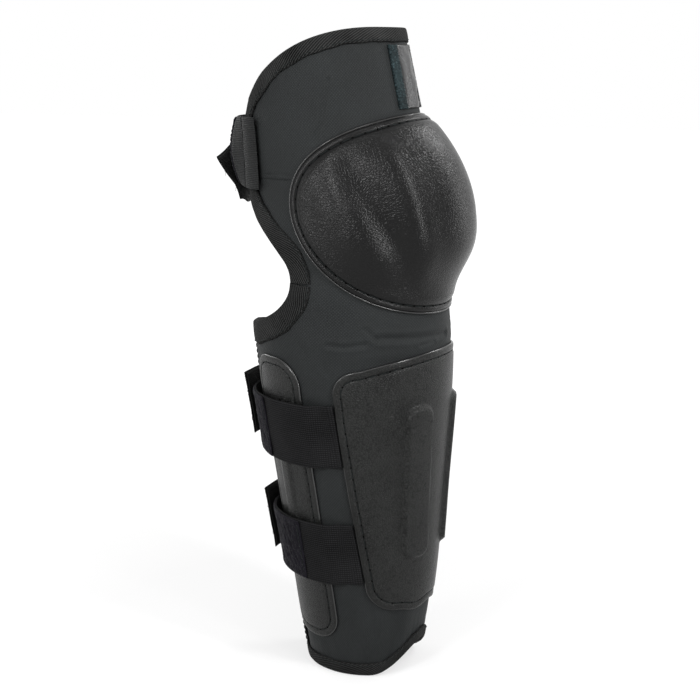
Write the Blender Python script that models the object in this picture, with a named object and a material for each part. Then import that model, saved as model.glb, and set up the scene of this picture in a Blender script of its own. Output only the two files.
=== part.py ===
"""Hard-shell knee and shin guard: a padded sleeve with sewn-on plates and elastic straps.

Units are metres, +Z is up and the guard stands on its hem. The front of the leg
faces -Y and the guard's left side lies at -X. Every piece is wrapped round one
leg form: a place on it is an angle (0 at the front, positive towards the left,
180 at the back) with a height, and a piece's thickness is measured along the
form's normal from the outside of the padding.
"""
import math

import bmesh
import bpy
from mathutils import Vector

GUARD_NAME = "knee_guard"

# Leg form: heights, half widths, half depths and how far the leg's centre lies behind the ankle's
HEM_HALF_WIDTH = 0.0430
HEM_HALF_DEPTH = 0.0464
ANKLE_HEIGHT = 0.060
ANKLE_HALF_WIDTH = 0.0520
ANKLE_HALF_DEPTH = 0.0561
SHIN_HEIGHT = 0.150
SHIN_HALF_WIDTH = 0.0625
SHIN_HALF_DEPTH = 0.0674
SHIN_SETBACK = 0.0043
CALF_HEIGHT = 0.290
CALF_HALF_WIDTH = 0.0745
CALF_HALF_DEPTH = 0.0803
CALF_SETBACK = 0.0121
KNEE_HEIGHT = 0.380
KNEE_HALF_WIDTH = 0.0705
KNEE_HALF_DEPTH = 0.0760
KNEE_SETBACK = 0.0199
TOP_HEIGHT = 0.520
TOP_HALF_WIDTH = 0.0625
TOP_HALF_DEPTH = 0.0655
TOP_SETBACK = 0.0395

# Padding, from the outside in
COVER_THICKNESS = 0.0008
FOAM_THICKNESS = 0.0055
LINING_THICKNESS = 0.0006
LAYER_GAP = 0.0003
SEAM_GAP = 0.0008

# Outline of the thigh and of the notch behind the knee
TOP_FLAT_ANGLE = 20.0
TOP_DROP = 0.068
TOP_DROP_POWER = 2.5
THIGH_EDGE_ANGLE = 140.0
NOTCH_ANGLE = 100.0
NOTCH_UPPER_HEIGHT = 0.395
NOTCH_MIDDLE_HEIGHT = 0.331
WING_BACK_HEIGHT = 0.287
WING_EDGE_ANGLE = 165.0
NOTCH_LOWER_POWER = 1.6
WING_CORNER_ANGLE = 110.0

# Seams between the padded panels
THIGH_SEAM_HEIGHT = 0.406
KNEE_SEAM_DROP = 0.002
KNEE_SEAM_SIDE = 0.328
KNEE_SEAM_FLAT_ANGLE = 30.0
KNEE_SEAM_RISE_ANGLE = 80.0
SHIN_SEAM_HEIGHT = 0.254
HEM_RISE = 0.024
HEM_FLAT_ANGLE = 60.0

# Fold line on each side, where a calf wing swings out
FOLD_TOP_HEIGHT = 0.246
FOLD_TOP_ANGLE = 81.7
FOLD_BOTTOM_HEIGHT = 0.084
FOLD_BOTTOM_ANGLE = 67.6
FOLD_AXIS_STANDOFF = 0.0015

# Binding tape folded round the raw edges
BINDING_WIDTH = 0.0115
BINDING_THICKNESS = 0.0009
BINDING_GAP = 0.0009
FOLD_CLEARANCE = 0.0015
EDGE_INSET = BINDING_THICKNESS + FOLD_CLEARANCE

# Moulded plates
PLATE_GAP = 0.0006
PLATE_THICKNESS = 0.0025
SHIN_PLATE_TOP = 0.274
SHIN_PLATE_TOP_ARCH = 0.012
SHIN_PLATE_BOTTOM = 0.057
SHIN_PLATE_BOTTOM_ARCH = 0.003
SHIN_PLATE_TOP_ANGLE = 78.5
SHIN_PLATE_BOTTOM_ANGLE = 62.0
SHIN_PLATE_SIDE_POWER = 1.6
SHIN_PLATE_CORNER = 0.022
SHIN_RIB_ANGLE = 24.5
SHIN_RIB_WIDTH = 0.026
SHIN_RIB_BOTTOM = 0.104
SHIN_RIB_TOP = 0.232
SHIN_RIB_HEIGHT = 0.0040
CALF_PLATE_ANGLE = 120.0
CALF_PLATE_HALF_WIDTH = 0.029
CALF_PLATE_BOTTOM = 0.030
CALF_PLATE_TOP = 0.267
CALF_PLATE_CORNER = 0.022
CALF_RIB_WIDTH = 0.016
CALF_RIB_MARGIN = 0.050
CALF_RIB_HEIGHT = 0.0015
RIB_SLOPE = 0.009

# Knee cap
CAP_MIDDLE_HEIGHT = 0.3785
CAP_HALF_HEIGHT = 0.0765
CAP_HALF_ANGLE = 97.0
CAP_SIDE_LIFT = 0.0075
CAP_LOWER_BULGE = 0.0040
CAP_RISE = 0.0290
CAP_THICKNESS = 0.0028
CAP_UPPER_FULLNESS = 0.78
CAP_LOWER_SHOULDER = 0.580
CAP_LOWER_SOFTNESS = 0.130
CAP_GROOVE_PLACE = 0.49
CAP_GROOVE_SLANT = 0.58
CAP_GROOVE_WIDTH = 0.10
CAP_GROOVE_DEPTH = 0.0040
CAP_LOBE_PLACE = 0.62
CAP_LOBE_SLANT = 0.45
CAP_LOBE_WIDTH = 0.14
CAP_LOBE_RISE = 0.0060
CAP_FOAM_SHARE = 0.75

# Straps
STRAP_THICKNESS = 0.0018
CALF_STRAP_WIDTH = 0.051
UPPER_STRAP_HEIGHT = 0.2085
LOWER_STRAP_HEIGHT = 0.1100
STRAP_TAIL_LIFT = 0.010
THIGH_STRAP_WIDTH = 0.055
THIGH_STRAP_HEIGHT = 0.4245
THIGH_STRAP_SEWN_ANGLE = 120.0
THIGH_STRAP_SLACK = 0.0085
THIGH_SLACK_ANGLE = 16.0
THIGH_STRAP_BOW = 0.0065
THIGH_TAIL_DROP = 0.022
STRAP_ROOT_GAP = 0.0020
STRAP_CLIMB_CLEARANCE = 3.0
STRAP_FLAT_SHARE = 0.4
STRAP_STEP = 9.0
LOOP_THICKNESS = 0.0015
HOOK_THICKNESS = 0.0010
PATCH_MARGIN = 0.001
UPPER_LOOP_ANGLE = 126.0
LOWER_LOOP_ANGLE = 112.0
LOOP_END_ANGLE = 186.0
HOOK_LAP_ANGLE = 171.0
HOOK_END_ANGLE = 200.0
LAP_RAMP = 18.0
LAP_CLEARANCE = 2.0
TAIL_FLARE = 0.0055
TAIL_FLARE_RAMP = 12.0
THIGH_LOOP_ANGLE = 157.0

# Axis about which the thigh bends on the shin
KNEE_AXIS_SETBACK = 0.0
KNEE_AXIS_HEIGHT = 0.318

# Patch on the front of the thigh
FRONT_PATCH_MARGIN = 0.0025
FRONT_PATCH_HEIGHT = 0.047
FRONT_PATCH_ANGLE = 15.0
FRONT_PATCH_THICKNESS = 0.0012

# Heights worked out from the sizes above
KNEE_SEAM_FRONT = CAP_MIDDLE_HEIGHT - CAP_HALF_HEIGHT - KNEE_SEAM_DROP
FRONT_PATCH_TOP = TOP_HEIGHT - BINDING_WIDTH - FRONT_PATCH_MARGIN
FRONT_PATCH_BOTTOM = FRONT_PATCH_TOP - FRONT_PATCH_HEIGHT

# Levels along the form's normal, worked out from the sizes above
FOAM_TOP = -COVER_THICKNESS - LAYER_GAP
LINING_TOP = FOAM_TOP - FOAM_THICKNESS - LAYER_GAP
PAD_BASE = LINING_TOP - LINING_THICKNESS
BINDING_TOP = BINDING_GAP + BINDING_THICKNESS
CALF_PLATE_FACE = PLATE_GAP + PLATE_THICKNESS + CALF_RIB_HEIGHT
STRAP_OVER_PAD = PLATE_GAP
STRAP_OVER_PLATE = CALF_PLATE_FACE + 2 * LAYER_GAP
STRAP_OVER_BINDING = BINDING_TOP + PLATE_GAP
LAP_RISE = STRAP_THICKNESS + LOOP_THICKNESS + HOOK_THICKNESS + 4 * LAYER_GAP
STRAP_TURN_GAP = STRAP_THICKNESS / 2 + LAYER_GAP

# Steps for measuring an edge's direction
ANGLE_STEP = 0.5
HEIGHT_STEP = 0.0005
PATH_STEP_SHARE = 0.001

# How finely the pieces are divided, as columns and rows
SHIN_GRID = (16, 8)
FLEX_GRID = (22, 3)
FLEX_SIDE_COLUMNS = 4
KNEE_GRID = (22, 8)
THIGH_GRID = (34, 4)
WING_GRID = (9, 8)
WING_BACK_COLUMNS = 5
SHIN_PLATE_GRID = (22, 9)
CALF_PLATE_GRID = (8, 6)
CAP_CELLS = 16
FRONT_PATCH_GRID = (4, 2)
SEWN_END_STEPS = 2
THIGH_STRAP_ROWS = 6
NOTCH_TAPE_STEPS = 10
EDGE_TAPE_STEPS = 2
TOP_TAPE_STEPS = 34
FLEX_TAPE_STEPS = 4
WING_TAPE_STEPS = 7
WING_HEM_STEPS = 10
SHIN_HEM_STEPS = 12
CORNER_TURNS = (90, 55, 25, 0)
SHARP_EDGE_ANGLE = 40.0

LEFT = 1
RIGHT = -1
UPRIGHT = (0.0, 1.0)


class Profile:
    """Smooth curve through a few stations that never overshoots them."""

    def __init__(self, stations):
        self.knots = [station[0] for station in stations]
        self.values = [station[1] for station in stations]
        steps = [b - a for a, b in zip(self.knots, self.knots[1:])]
        rises = [b - a for a, b in zip(self.values, self.values[1:])]
        slopes = [rise / step for rise, step in zip(rises, steps)]
        self.tangents = [slopes[0]]
        for i in range(1, len(slopes)):
            before, after = slopes[i - 1], slopes[i]
            if before * after <= 0:
                self.tangents.append(0.0)
                continue
            near = 2 * steps[i] + steps[i - 1]
            far = steps[i] + 2 * steps[i - 1]
            self.tangents.append((near + far) / (near / before + far / after))
        self.tangents.append(slopes[-1])

    def __call__(self, x):
        last = len(self.knots) - 2
        i = max(0, min(last, sum(knot <= x for knot in self.knots) - 1))
        step = self.knots[i + 1] - self.knots[i]
        t = (x - self.knots[i]) / step
        start = (1 + 2 * t) * (1 - t) ** 2 * self.values[i]
        end = t * t * (3 - 2 * t) * self.values[i + 1]
        bend = t * (1 - t) ** 2 * self.tangents[i] + t * t * (t - 1) * self.tangents[i + 1]
        return start + end + step * bend


HALF_WIDTH = Profile((
    (0.0, HEM_HALF_WIDTH),
    (ANKLE_HEIGHT, ANKLE_HALF_WIDTH),
    (SHIN_HEIGHT, SHIN_HALF_WIDTH),
    (CALF_HEIGHT, CALF_HALF_WIDTH),
    (KNEE_HEIGHT, KNEE_HALF_WIDTH),
    (TOP_HEIGHT, TOP_HALF_WIDTH),
))
HALF_DEPTH = Profile((
    (0.0, HEM_HALF_DEPTH),
    (ANKLE_HEIGHT, ANKLE_HALF_DEPTH),
    (SHIN_HEIGHT, SHIN_HALF_DEPTH),
    (CALF_HEIGHT, CALF_HALF_DEPTH),
    (KNEE_HEIGHT, KNEE_HALF_DEPTH),
    (TOP_HEIGHT, TOP_HALF_DEPTH),
))
SETBACK = Profile((
    (0.0, 0.0),
    (ANKLE_HEIGHT, 0.0),
    (SHIN_HEIGHT, SHIN_SETBACK),
    (CALF_HEIGHT, CALF_SETBACK),
    (KNEE_HEIGHT, KNEE_SETBACK),
    (TOP_HEIGHT, TOP_SETBACK),
))


def lerp(a, b, t):
    return a + (b - a) * t


def smooth(t):
    t = max(0.0, min(1.0, t))
    return t * t * (3 - 2 * t)


def form_point(angle, height):
    """Point of the leg form, the outside of the padding."""
    turn = math.radians(angle)
    x = -HALF_WIDTH(height) * math.sin(turn)
    y = SETBACK(height) - HALF_DEPTH(height) * math.cos(turn)
    return Vector((x, y, height))


def leg_point(angle, height, level=0.0):
    """Point at a level along the form's outward normal."""
    across = form_point(angle - ANGLE_STEP, height) - form_point(angle + ANGLE_STEP, height)
    along = form_point(angle, height + HEIGHT_STEP) - form_point(angle, height - HEIGHT_STEP)
    return form_point(angle, height) + across.cross(along).normalized() * level


def arc_radius(angle, height):
    """Arc length round the form for each radian of angle."""
    turn = math.radians(angle)
    return math.hypot(HALF_WIDTH(height) * math.cos(turn), HALF_DEPTH(height) * math.sin(turn))


def arc_angle(length, angle, height):
    """Angle, in degrees, that an arc length takes up round the form."""
    return math.degrees(length / arc_radius(angle, height))


# Edges of the padded panels

def top_edge(angle):
    """Height of the thigh's upper edge."""
    t = (abs(angle) - TOP_FLAT_ANGLE) / (THIGH_EDGE_ANGLE - TOP_FLAT_ANGLE)
    return TOP_HEIGHT - TOP_DROP * max(0.0, t) ** TOP_DROP_POWER


def notch_upper_angle(height):
    """Angle of the notch's edge above its deepest point."""
    t = (height - NOTCH_MIDDLE_HEIGHT) / (NOTCH_UPPER_HEIGHT - NOTCH_MIDDLE_HEIGHT)
    return lerp(NOTCH_ANGLE, THIGH_EDGE_ANGLE, smooth(t))


def notch_lower_height(angle):
    """Height of the notch's edge below its deepest point."""
    t = (angle - NOTCH_ANGLE) / (WING_EDGE_ANGLE - NOTCH_ANGLE)
    fall = max(0.0, 1 - math.sqrt(max(0.0, t))) ** NOTCH_LOWER_POWER
    return lerp(WING_BACK_HEIGHT, NOTCH_MIDDLE_HEIGHT, fall)


def notch_lower_angle(height):
    """Angle of the notch's edge below its deepest point."""
    fall = (height - WING_BACK_HEIGHT) / (NOTCH_MIDDLE_HEIGHT - WING_BACK_HEIGHT)
    t = (1 - fall ** (1 / NOTCH_LOWER_POWER)) ** 2
    return lerp(NOTCH_ANGLE, WING_EDGE_ANGLE, t)


def hem_edge(angle):
    """Height of the hem, which rises over the instep."""
    t = max(0.0, 1 - abs(angle) / HEM_FLAT_ANGLE)
    return HEM_RISE * (1 - math.cos(math.pi * t)) / 2


def fold_angle(height):
    """Angle of the fold line between shin panel and calf wing."""
    t = (height - FOLD_BOTTOM_HEIGHT) / (FOLD_TOP_HEIGHT - FOLD_BOTTOM_HEIGHT)
    return lerp(FOLD_BOTTOM_ANGLE, FOLD_TOP_ANGLE, t)


def knee_seam(angle):
    """Height of the seam under the knee panel."""
    span = KNEE_SEAM_RISE_ANGLE - KNEE_SEAM_FLAT_ANGLE
    return lerp(KNEE_SEAM_FRONT, KNEE_SEAM_SIDE, smooth((abs(angle) - KNEE_SEAM_FLAT_ANGLE) / span))


WING_CORNER_HEIGHT = notch_lower_height(WING_CORNER_ANGLE)
SHIN_SEAM_ANGLE = fold_angle(SHIN_SEAM_HEIGHT)


def along_top_edge(angle):
    return angle, top_edge(angle)


def up_upper_notch(height):
    return notch_upper_angle(height), height


def up_lower_notch(height):
    return notch_lower_angle(height), height


def along_wing_top(angle):
    return angle, notch_lower_height(angle)


def along_hem(angle):
    return angle, hem_edge(angle)


def inward(before, after):
    """Direction into the padding, which lies on the right of an edge from before to after."""
    along = -math.radians(after[0] - before[0]) * arc_radius(*before)
    rise = after[1] - before[1]
    length = math.hypot(along, rise)
    return rise / length, -along / length


def moved(place, direction, distance):
    """Place moved along the form by a distance."""
    angle, height = place
    along, rise = direction
    return angle - arc_angle(along * distance, angle, height), height + rise * distance


def inset(edge, value, step):
    """Place on an edge, moved into the padding to leave room for the binding's fold."""
    return moved(edge(value), inward(edge(value - step), edge(value + step)), EDGE_INSET)


def panel(bottom, top, left, right):
    """Place on a four-sided panel from its edges, each a function of 0 to 1."""
    corners = (bottom(0), bottom(1), top(0), top(1))

    def where(u, v):
        place = []
        for k in range(2):
            across = lerp(bottom(u)[k], top(u)[k], v) + lerp(left(v)[k], right(v)[k], u)
            twice = lerp(lerp(corners[0][k], corners[1][k], u), lerp(corners[2][k], corners[3][k], u), v)
            place.append(across - twice)
        return place

    return where


def mirrored_panel(bottom, top, left):
    """Panel that is the same on both sides of the leg's front."""

    def right(v):
        angle, height = left(v)
        return -angle, height

    return panel(bottom, top, left, right)


def thigh_place():
    edge = THIGH_EDGE_ANGLE - arc_angle(EDGE_INSET, THIGH_EDGE_ANGLE, THIGH_SEAM_HEIGHT)
    seam = THIGH_SEAM_HEIGHT + SEAM_GAP / 2

    def bottom(u):
        return lerp(edge, -edge, u), seam

    def top(u):
        angle, height = inset(along_top_edge, lerp(edge, -edge, u), -ANGLE_STEP)
        return max(-edge, min(edge, angle)), height

    def left(v):
        return edge, lerp(seam, top(0)[1], v)

    return mirrored_panel(bottom, top, left)


def knee_place():
    low = KNEE_SEAM_SIDE + SEAM_GAP / 2
    high = THIGH_SEAM_HEIGHT - SEAM_GAP / 2

    def left(v):
        return inset(up_upper_notch, lerp(low, high, v), HEIGHT_STEP)

    def bottom(u):
        edge = left(0)[0]
        angle = lerp(edge, -edge, u)
        return angle, knee_seam(angle) + SEAM_GAP / 2

    def top(u):
        edge = left(1)[0]
        return lerp(edge, -edge, u), high

    return mirrored_panel(bottom, top, left)


def flex_place():
    """The flex panel, whose lower edge turns at the top ends of the fold lines."""
    side_share = FLEX_SIDE_COLUMNS / FLEX_GRID[0]
    low = WING_CORNER_HEIGHT + SEAM_GAP / 2
    high = KNEE_SEAM_SIDE - SEAM_GAP / 2

    def left(v):
        return inset(up_lower_notch, lerp(low, high, v), HEIGHT_STEP)

    def lower_left(u):
        corner, corner_height = left(0)
        angle = lerp(corner, SHIN_SEAM_ANGLE, u)
        return angle, lerp(corner_height, SHIN_SEAM_HEIGHT + SEAM_GAP / 2, u)

    def bottom(u):
        if u < side_share:
            return lower_left(u / side_share)
        if u > 1 - side_share:
            angle, height = lower_left((1 - u) / side_share)
            return -angle, height
        t = (u - side_share) / (1 - 2 * side_share)
        return lerp(SHIN_SEAM_ANGLE, -SHIN_SEAM_ANGLE, t), SHIN_SEAM_HEIGHT + SEAM_GAP / 2

    def top(u):
        edge = left(1)[0]
        angle = lerp(edge, -edge, u)
        return angle, knee_seam(angle) - SEAM_GAP / 2

    return mirrored_panel(bottom, top, left)


def shin_place():
    seam = SHIN_SEAM_HEIGHT - SEAM_GAP / 2

    def left(v):
        height = lerp(EDGE_INSET, seam, v)
        angle = fold_angle(height)
        return angle - arc_angle(SEAM_GAP / 2, angle, height), height

    def bottom(u):
        edge = left(0)[0]
        angle = lerp(edge, -edge, u)
        return angle, hem_edge(angle) + EDGE_INSET

    def top(u):
        edge = left(1)[0]
        return lerp(edge, -edge, u), seam

    return mirrored_panel(bottom, top, left)


def wing_place():
    """A calf wing, whose upper edge peaks at the notch's corner."""
    back_share = WING_BACK_COLUMNS / WING_GRID[0]
    seam = SHIN_SEAM_HEIGHT - SEAM_GAP / 2
    back = WING_EDGE_ANGLE - arc_angle(EDGE_INSET, WING_EDGE_ANGLE, SHIN_HEIGHT)
    corner = WING_CORNER_ANGLE + arc_angle(SEAM_GAP, WING_CORNER_ANGLE, WING_CORNER_HEIGHT)

    def right(v):
        height = lerp(EDGE_INSET, seam, v)
        angle = fold_angle(height)
        return angle + arc_angle(SEAM_GAP / 2, angle, height), height

    def bottom(u):
        return lerp(back, right(0)[0], u), EDGE_INSET

    def top(u):
        if u <= back_share:
            return inset(along_wing_top, lerp(back, corner, u / back_share), -ANGLE_STEP)
        t = (u - back_share) / (1 - back_share)
        peak_angle, peak = inset(along_wing_top, corner, -ANGLE_STEP)
        return lerp(peak_angle, right(1)[0], t), lerp(peak, seam, t)

    def left(v):
        return lerp(back, top(0)[0], v), lerp(EDGE_INSET, top(0)[1], v)

    return panel(bottom, top, left, right)


# Building pieces

class Body:
    """A group of pieces that move together, held by an empty on its joint's axis."""

    def __init__(self, name, parent, pivot, collection):
        self.pivot = pivot
        self.collection = collection
        self.empty = bpy.data.objects.new(name + "_axis", None)
        self.empty.empty_display_size = 0.02
        collection.objects.link(self.empty)
        if parent is not None:
            self.empty.parent = parent.empty
            self.empty.location = pivot - parent.pivot
        else:
            self.empty.location = pivot


class Finish:
    """A material's colour, roughness and metallic value."""

    def __init__(self, name, colour, roughness, metallic=0.0):
        self.name = name
        self.colour = colour
        self.roughness = roughness
        self.metallic = metallic

    def material(self):
        found = bpy.data.materials.get(self.name)
        if found is not None:
            return found
        made = bpy.data.materials.new(self.name)
        made.use_nodes = True
        shader = made.node_tree.nodes["Principled BSDF"]
        shader.inputs["Base Color"].default_value = (*self.colour, 1.0)
        shader.inputs["Roughness"].default_value = self.roughness
        shader.inputs["Metallic"].default_value = self.metallic
        made.diffuse_color = (*self.colour, 1.0)
        return made


NYLON = Finish("nylon_cover", (0.030, 0.034, 0.036), 0.62)
FOAM = Finish("pad_foam", (0.060, 0.060, 0.062), 0.95)
LINING = Finish("mesh_lining", (0.016, 0.016, 0.018), 0.90)
TWILL = Finish("binding_twill", (0.008, 0.008, 0.008), 0.85)
GLOSS_SHELL = Finish("knee_cap_shell", (0.010, 0.010, 0.010), 0.30)
SATIN_SHELL = Finish("plate_shell", (0.022, 0.024, 0.025), 0.50)
ELASTIC = Finish("strap_elastic", (0.009, 0.009, 0.010), 0.80)
LOOP_PILE = Finish("loop_pile", (0.012, 0.012, 0.016), 0.98)
HOOK_TAPE = Finish("hook_tape", (0.007, 0.007, 0.007), 0.75)
SATIN_PATCH = Finish("front_patch_satin", (0.020, 0.022, 0.024), 0.40)


def shell(name, columns, rows, outer, inner, finish, body, side=LEFT):
    """Closed shell between two surfaces, extruded from one grid.

    outer and inner give a point for a column number and a row number.
    """
    mesh = bpy.data.meshes.new(name)
    grid = bmesh.new()
    bmesh.ops.create_grid(grid, x_segments=columns, y_segments=rows, size=0.5)
    base = list(grid.verts)
    grown = bmesh.ops.extrude_face_region(grid, geom=list(grid.faces), use_keep_orig=True)
    raised = [item for item in grown["geom"] if isinstance(item, bmesh.types.BMVert)]
    mirror = Vector((side, 1, 1))
    for vertices, surface in ((base, inner), (raised, outer)):
        for vertex in vertices:
            column = round((vertex.co.x + 0.5) * columns)
            row = round((vertex.co.y + 0.5) * rows)
            vertex.co = surface(column, row) * mirror - body.pivot
    bmesh.ops.recalc_face_normals(grid, faces=grid.faces)
    if grid.calc_volume(signed=True) < 0:
        bmesh.ops.reverse_faces(grid, faces=grid.faces)
    grid.to_mesh(mesh)
    grid.free()
    mesh.shade_smooth()
    mesh.set_sharp_from_angle(angle=math.radians(SHARP_EDGE_ANGLE))
    mesh.materials.append(finish.material())
    piece = bpy.data.objects.new(name, mesh)
    piece.parent = body.empty
    body.collection.objects.link(piece)
    return piece


def layer(name, where, grid, top, base, finish, body, side=LEFT):
    """Shell of even thickness over a panel, between two levels."""
    columns, rows = grid

    def at(level):
        def point(i, j):
            angle, height = where(i / columns, j / rows)
            return leg_point(angle, height, level)
        return point

    return shell(name, columns, rows, at(top), at(base), finish, body, side)


def padded_panel(name, where, grid, body, side=LEFT):
    """Cover, foam core and lining of one padded panel."""
    layer(name + "_cover", where, grid, 0.0, -COVER_THICKNESS, NYLON, body, side)
    layer(name + "_foam", where, grid, FOAM_TOP, FOAM_TOP - FOAM_THICKNESS, FOAM, body, side)
    layer(name + "_lining", where, grid, LINING_TOP, PAD_BASE, LINING, body, side)


def binding(name, path, body, side=LEFT, hem=False):
    """Tape folded round a raw edge, over the cover and under the lining.

    path lists places along the edge with the direction into the padding. A hem's
    tape stands upright and its fold is level, so that the guard can stand on it.
    """
    low = PAD_BASE - BINDING_GAP
    outer_section = (
        (BINDING_WIDTH, BINDING_TOP),
        (0.0, BINDING_TOP),
        (0.0, low - BINDING_THICKNESS),
        (BINDING_WIDTH, low - BINDING_THICKNESS),
    )
    inner_section = (
        (BINDING_WIDTH, BINDING_GAP),
        (BINDING_THICKNESS, BINDING_GAP),
        (BINDING_THICKNESS, low),
        (BINDING_WIDTH, low),
    )

    def at(section):
        def point(i, j):
            reach, level = section[i]
            place, direction = path[j]
            corner = leg_point(*moved(place, UPRIGHT if hem else direction, reach), level)
            if hem and reach == 0.0:
                corner.z = place[1]
            return corner
        return point

    shell(name, len(outer_section) - 1, len(path) - 1, at(outer_section), at(inner_section), TWILL, body, side)


def rounded_rows(half_height, corner, middle_rows):
    """Row heights of a plate, closer together round its corners."""
    ends = [half_height - corner * (1 - math.sin(math.radians(turn))) for turn in CORNER_TURNS]
    straight = half_height - corner
    middle = [lerp(straight, -straight, k / middle_rows) for k in range(1, middle_rows)]
    return [-row for row in ends] + middle[::-1] + ends[::-1]


def corner_trim(row, half_height, corner):
    """How far a plate's side draws in at a row, for its round corners."""
    reach = max(0.0, abs(row) - (half_height - corner))
    return corner - math.sqrt(max(0.0, corner * corner - reach * reach))


def rib_rise(across, row, half_width, half_length):
    """Share of a rib's height at a place measured from the rib's middle."""
    beside = 1 - (abs(across) - (half_width - RIB_SLOPE)) / RIB_SLOPE
    beyond = 1 - (abs(row) - (half_length - RIB_SLOPE)) / RIB_SLOPE
    return smooth(beside) * smooth(beyond)


def build_shin_plate(body):
    half_height = (SHIN_PLATE_TOP - SHIN_PLATE_BOTTOM) / 2
    middle = (SHIN_PLATE_TOP + SHIN_PLATE_BOTTOM) / 2
    columns, middle_rows = SHIN_PLATE_GRID
    rows = rounded_rows(half_height, SHIN_PLATE_CORNER, middle_rows)
    rib_middle = (SHIN_RIB_TOP + SHIN_RIB_BOTTOM) / 2
    rib_half = (SHIN_RIB_TOP - SHIN_RIB_BOTTOM) / 2

    def place(i, j):
        p = lerp(1, -1, i / columns)
        row = rows[j]
        share = (row + half_height) / (2 * half_height)
        spread = SHIN_PLATE_TOP_ANGLE - SHIN_PLATE_BOTTOM_ANGLE
        edge = SHIN_PLATE_TOP_ANGLE - spread * (1 - share) ** SHIN_PLATE_SIDE_POWER
        height = middle + row
        trim = corner_trim(row, half_height, SHIN_PLATE_CORNER)
        angle = p * (edge - arc_angle(trim, edge, height))
        arch_top = -SHIN_PLATE_TOP_ARCH * p * p
        arch_bottom = SHIN_PLATE_BOTTOM_ARCH * (1 + math.cos(2 * math.pi * p)) / 2
        return angle, height + lerp(arch_bottom, arch_top, share)

    def at(thickness):
        def point(i, j):
            angle, height = place(i, j)
            across = math.radians(abs(angle) - SHIN_RIB_ANGLE) * arc_radius(angle, height)
            rib = rib_rise(across, height - rib_middle, SHIN_RIB_WIDTH / 2, rib_half)
            return leg_point(angle, height, PLATE_GAP + thickness + SHIN_RIB_HEIGHT * rib)
        return point

    shell("shin_plate", columns, len(rows) - 1, at(PLATE_THICKNESS), at(0.0), SATIN_SHELL, body)


def build_calf_plate(name, body, side):
    half_height = (CALF_PLATE_TOP - CALF_PLATE_BOTTOM) / 2
    middle = (CALF_PLATE_TOP + CALF_PLATE_BOTTOM) / 2
    columns, middle_rows = CALF_PLATE_GRID
    rows = rounded_rows(half_height, CALF_PLATE_CORNER, middle_rows)

    def at(thickness):
        def point(i, j):
            row = rows[j]
            height = middle + row
            half_width = CALF_PLATE_HALF_WIDTH - corner_trim(row, half_height, CALF_PLATE_CORNER)
            across = lerp(1, -1, i / columns) * half_width
            angle = CALF_PLATE_ANGLE + arc_angle(across, CALF_PLATE_ANGLE, height)
            rib = rib_rise(across, row, CALF_RIB_WIDTH / 2, half_height - CALF_RIB_MARGIN)
            return leg_point(angle, height, PLATE_GAP + thickness + CALF_RIB_HEIGHT * rib)
        return point

    shell(name, columns, len(rows) - 1, at(PLATE_THICKNESS), at(0.0), SATIN_SHELL, body, side)


def cap_place(p, q):
    """Place on the knee cap's oval from a square's coordinates, each -1 to 1."""
    across = p * math.sqrt(1 - q * q / 2)
    up = q * math.sqrt(1 - p * p / 2)
    lift = CAP_SIDE_LIFT * across * across
    bulge = CAP_LOWER_BULGE * max(0.0, -up) * 4 * across * across * (1 - across * across)
    height = CAP_MIDDLE_HEIGHT + CAP_HALF_HEIGHT * up + lift - bulge
    return across, up, CAP_HALF_ANGLE * across, height


def cap_shoulder(reach):
    """Share of the dome's rise below its middle, by share of the way to the rim."""
    return 1 / (1 + math.exp((-reach - CAP_LOWER_SHOULDER) / CAP_LOWER_SOFTNESS))


def cap_rise(across, up):
    """How far the cap domes out at a place of its oval; it lies flat all round its rim."""
    side = abs(across)
    reach = max(-1.0, min(1.0, up / math.sqrt(max(1e-6, 1 - side * side))))
    if reach >= 0:
        upright = max(0.0, math.cos(math.pi / 2 * reach)) ** CAP_UPPER_FULLNESS
    else:
        rim = cap_shoulder(-1.0)
        upright = (cap_shoulder(reach) - rim) / (cap_shoulder(0.0) - rim)
    sideways = CAP_RISE * (1 + math.cos(math.pi * across)) / 2
    groove_place = CAP_GROOVE_PLACE * (1 + CAP_GROOVE_SLANT * up)
    lobe_place = CAP_LOBE_PLACE * (1 + CAP_LOBE_SLANT * up)
    groove = CAP_GROOVE_DEPTH * math.exp(-((side - groove_place) / CAP_GROOVE_WIDTH) ** 2)
    lobe = CAP_LOBE_RISE * math.exp(-((side - lobe_place) / CAP_LOBE_WIDTH) ** 2)
    return max(0.0, upright * (sideways + (lobe - groove) * (1 - across * across)))


def build_knee_cap(body):
    def at(level):
        def point(i, j):
            across, up, angle, height = cap_place(1 - 2 * i / CAP_CELLS, 2 * j / CAP_CELLS - 1)
            return leg_point(angle, height, level + cap_rise(across, up))
        return point

    shell("knee_cap", CAP_CELLS, CAP_CELLS, at(PLATE_GAP + CAP_THICKNESS), at(PLATE_GAP), GLOSS_SHELL, body)
    foam_cells = round(CAP_CELLS * CAP_FOAM_SHARE)

    def foam_at(share):
        def point(i, j):
            p = CAP_FOAM_SHARE * (1 - 2 * i / foam_cells)
            q = CAP_FOAM_SHARE * (2 * j / foam_cells - 1)
            across, up, angle, height = cap_place(p, q)
            fill = max(0.0, cap_rise(across, up) - 2 * LAYER_GAP)
            return leg_point(angle, height, PLATE_GAP + share * fill)
        return point

    shell("knee_cap_foam", foam_cells, foam_cells, foam_at(1.0), foam_at(0.0), FOAM, body)


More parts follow.
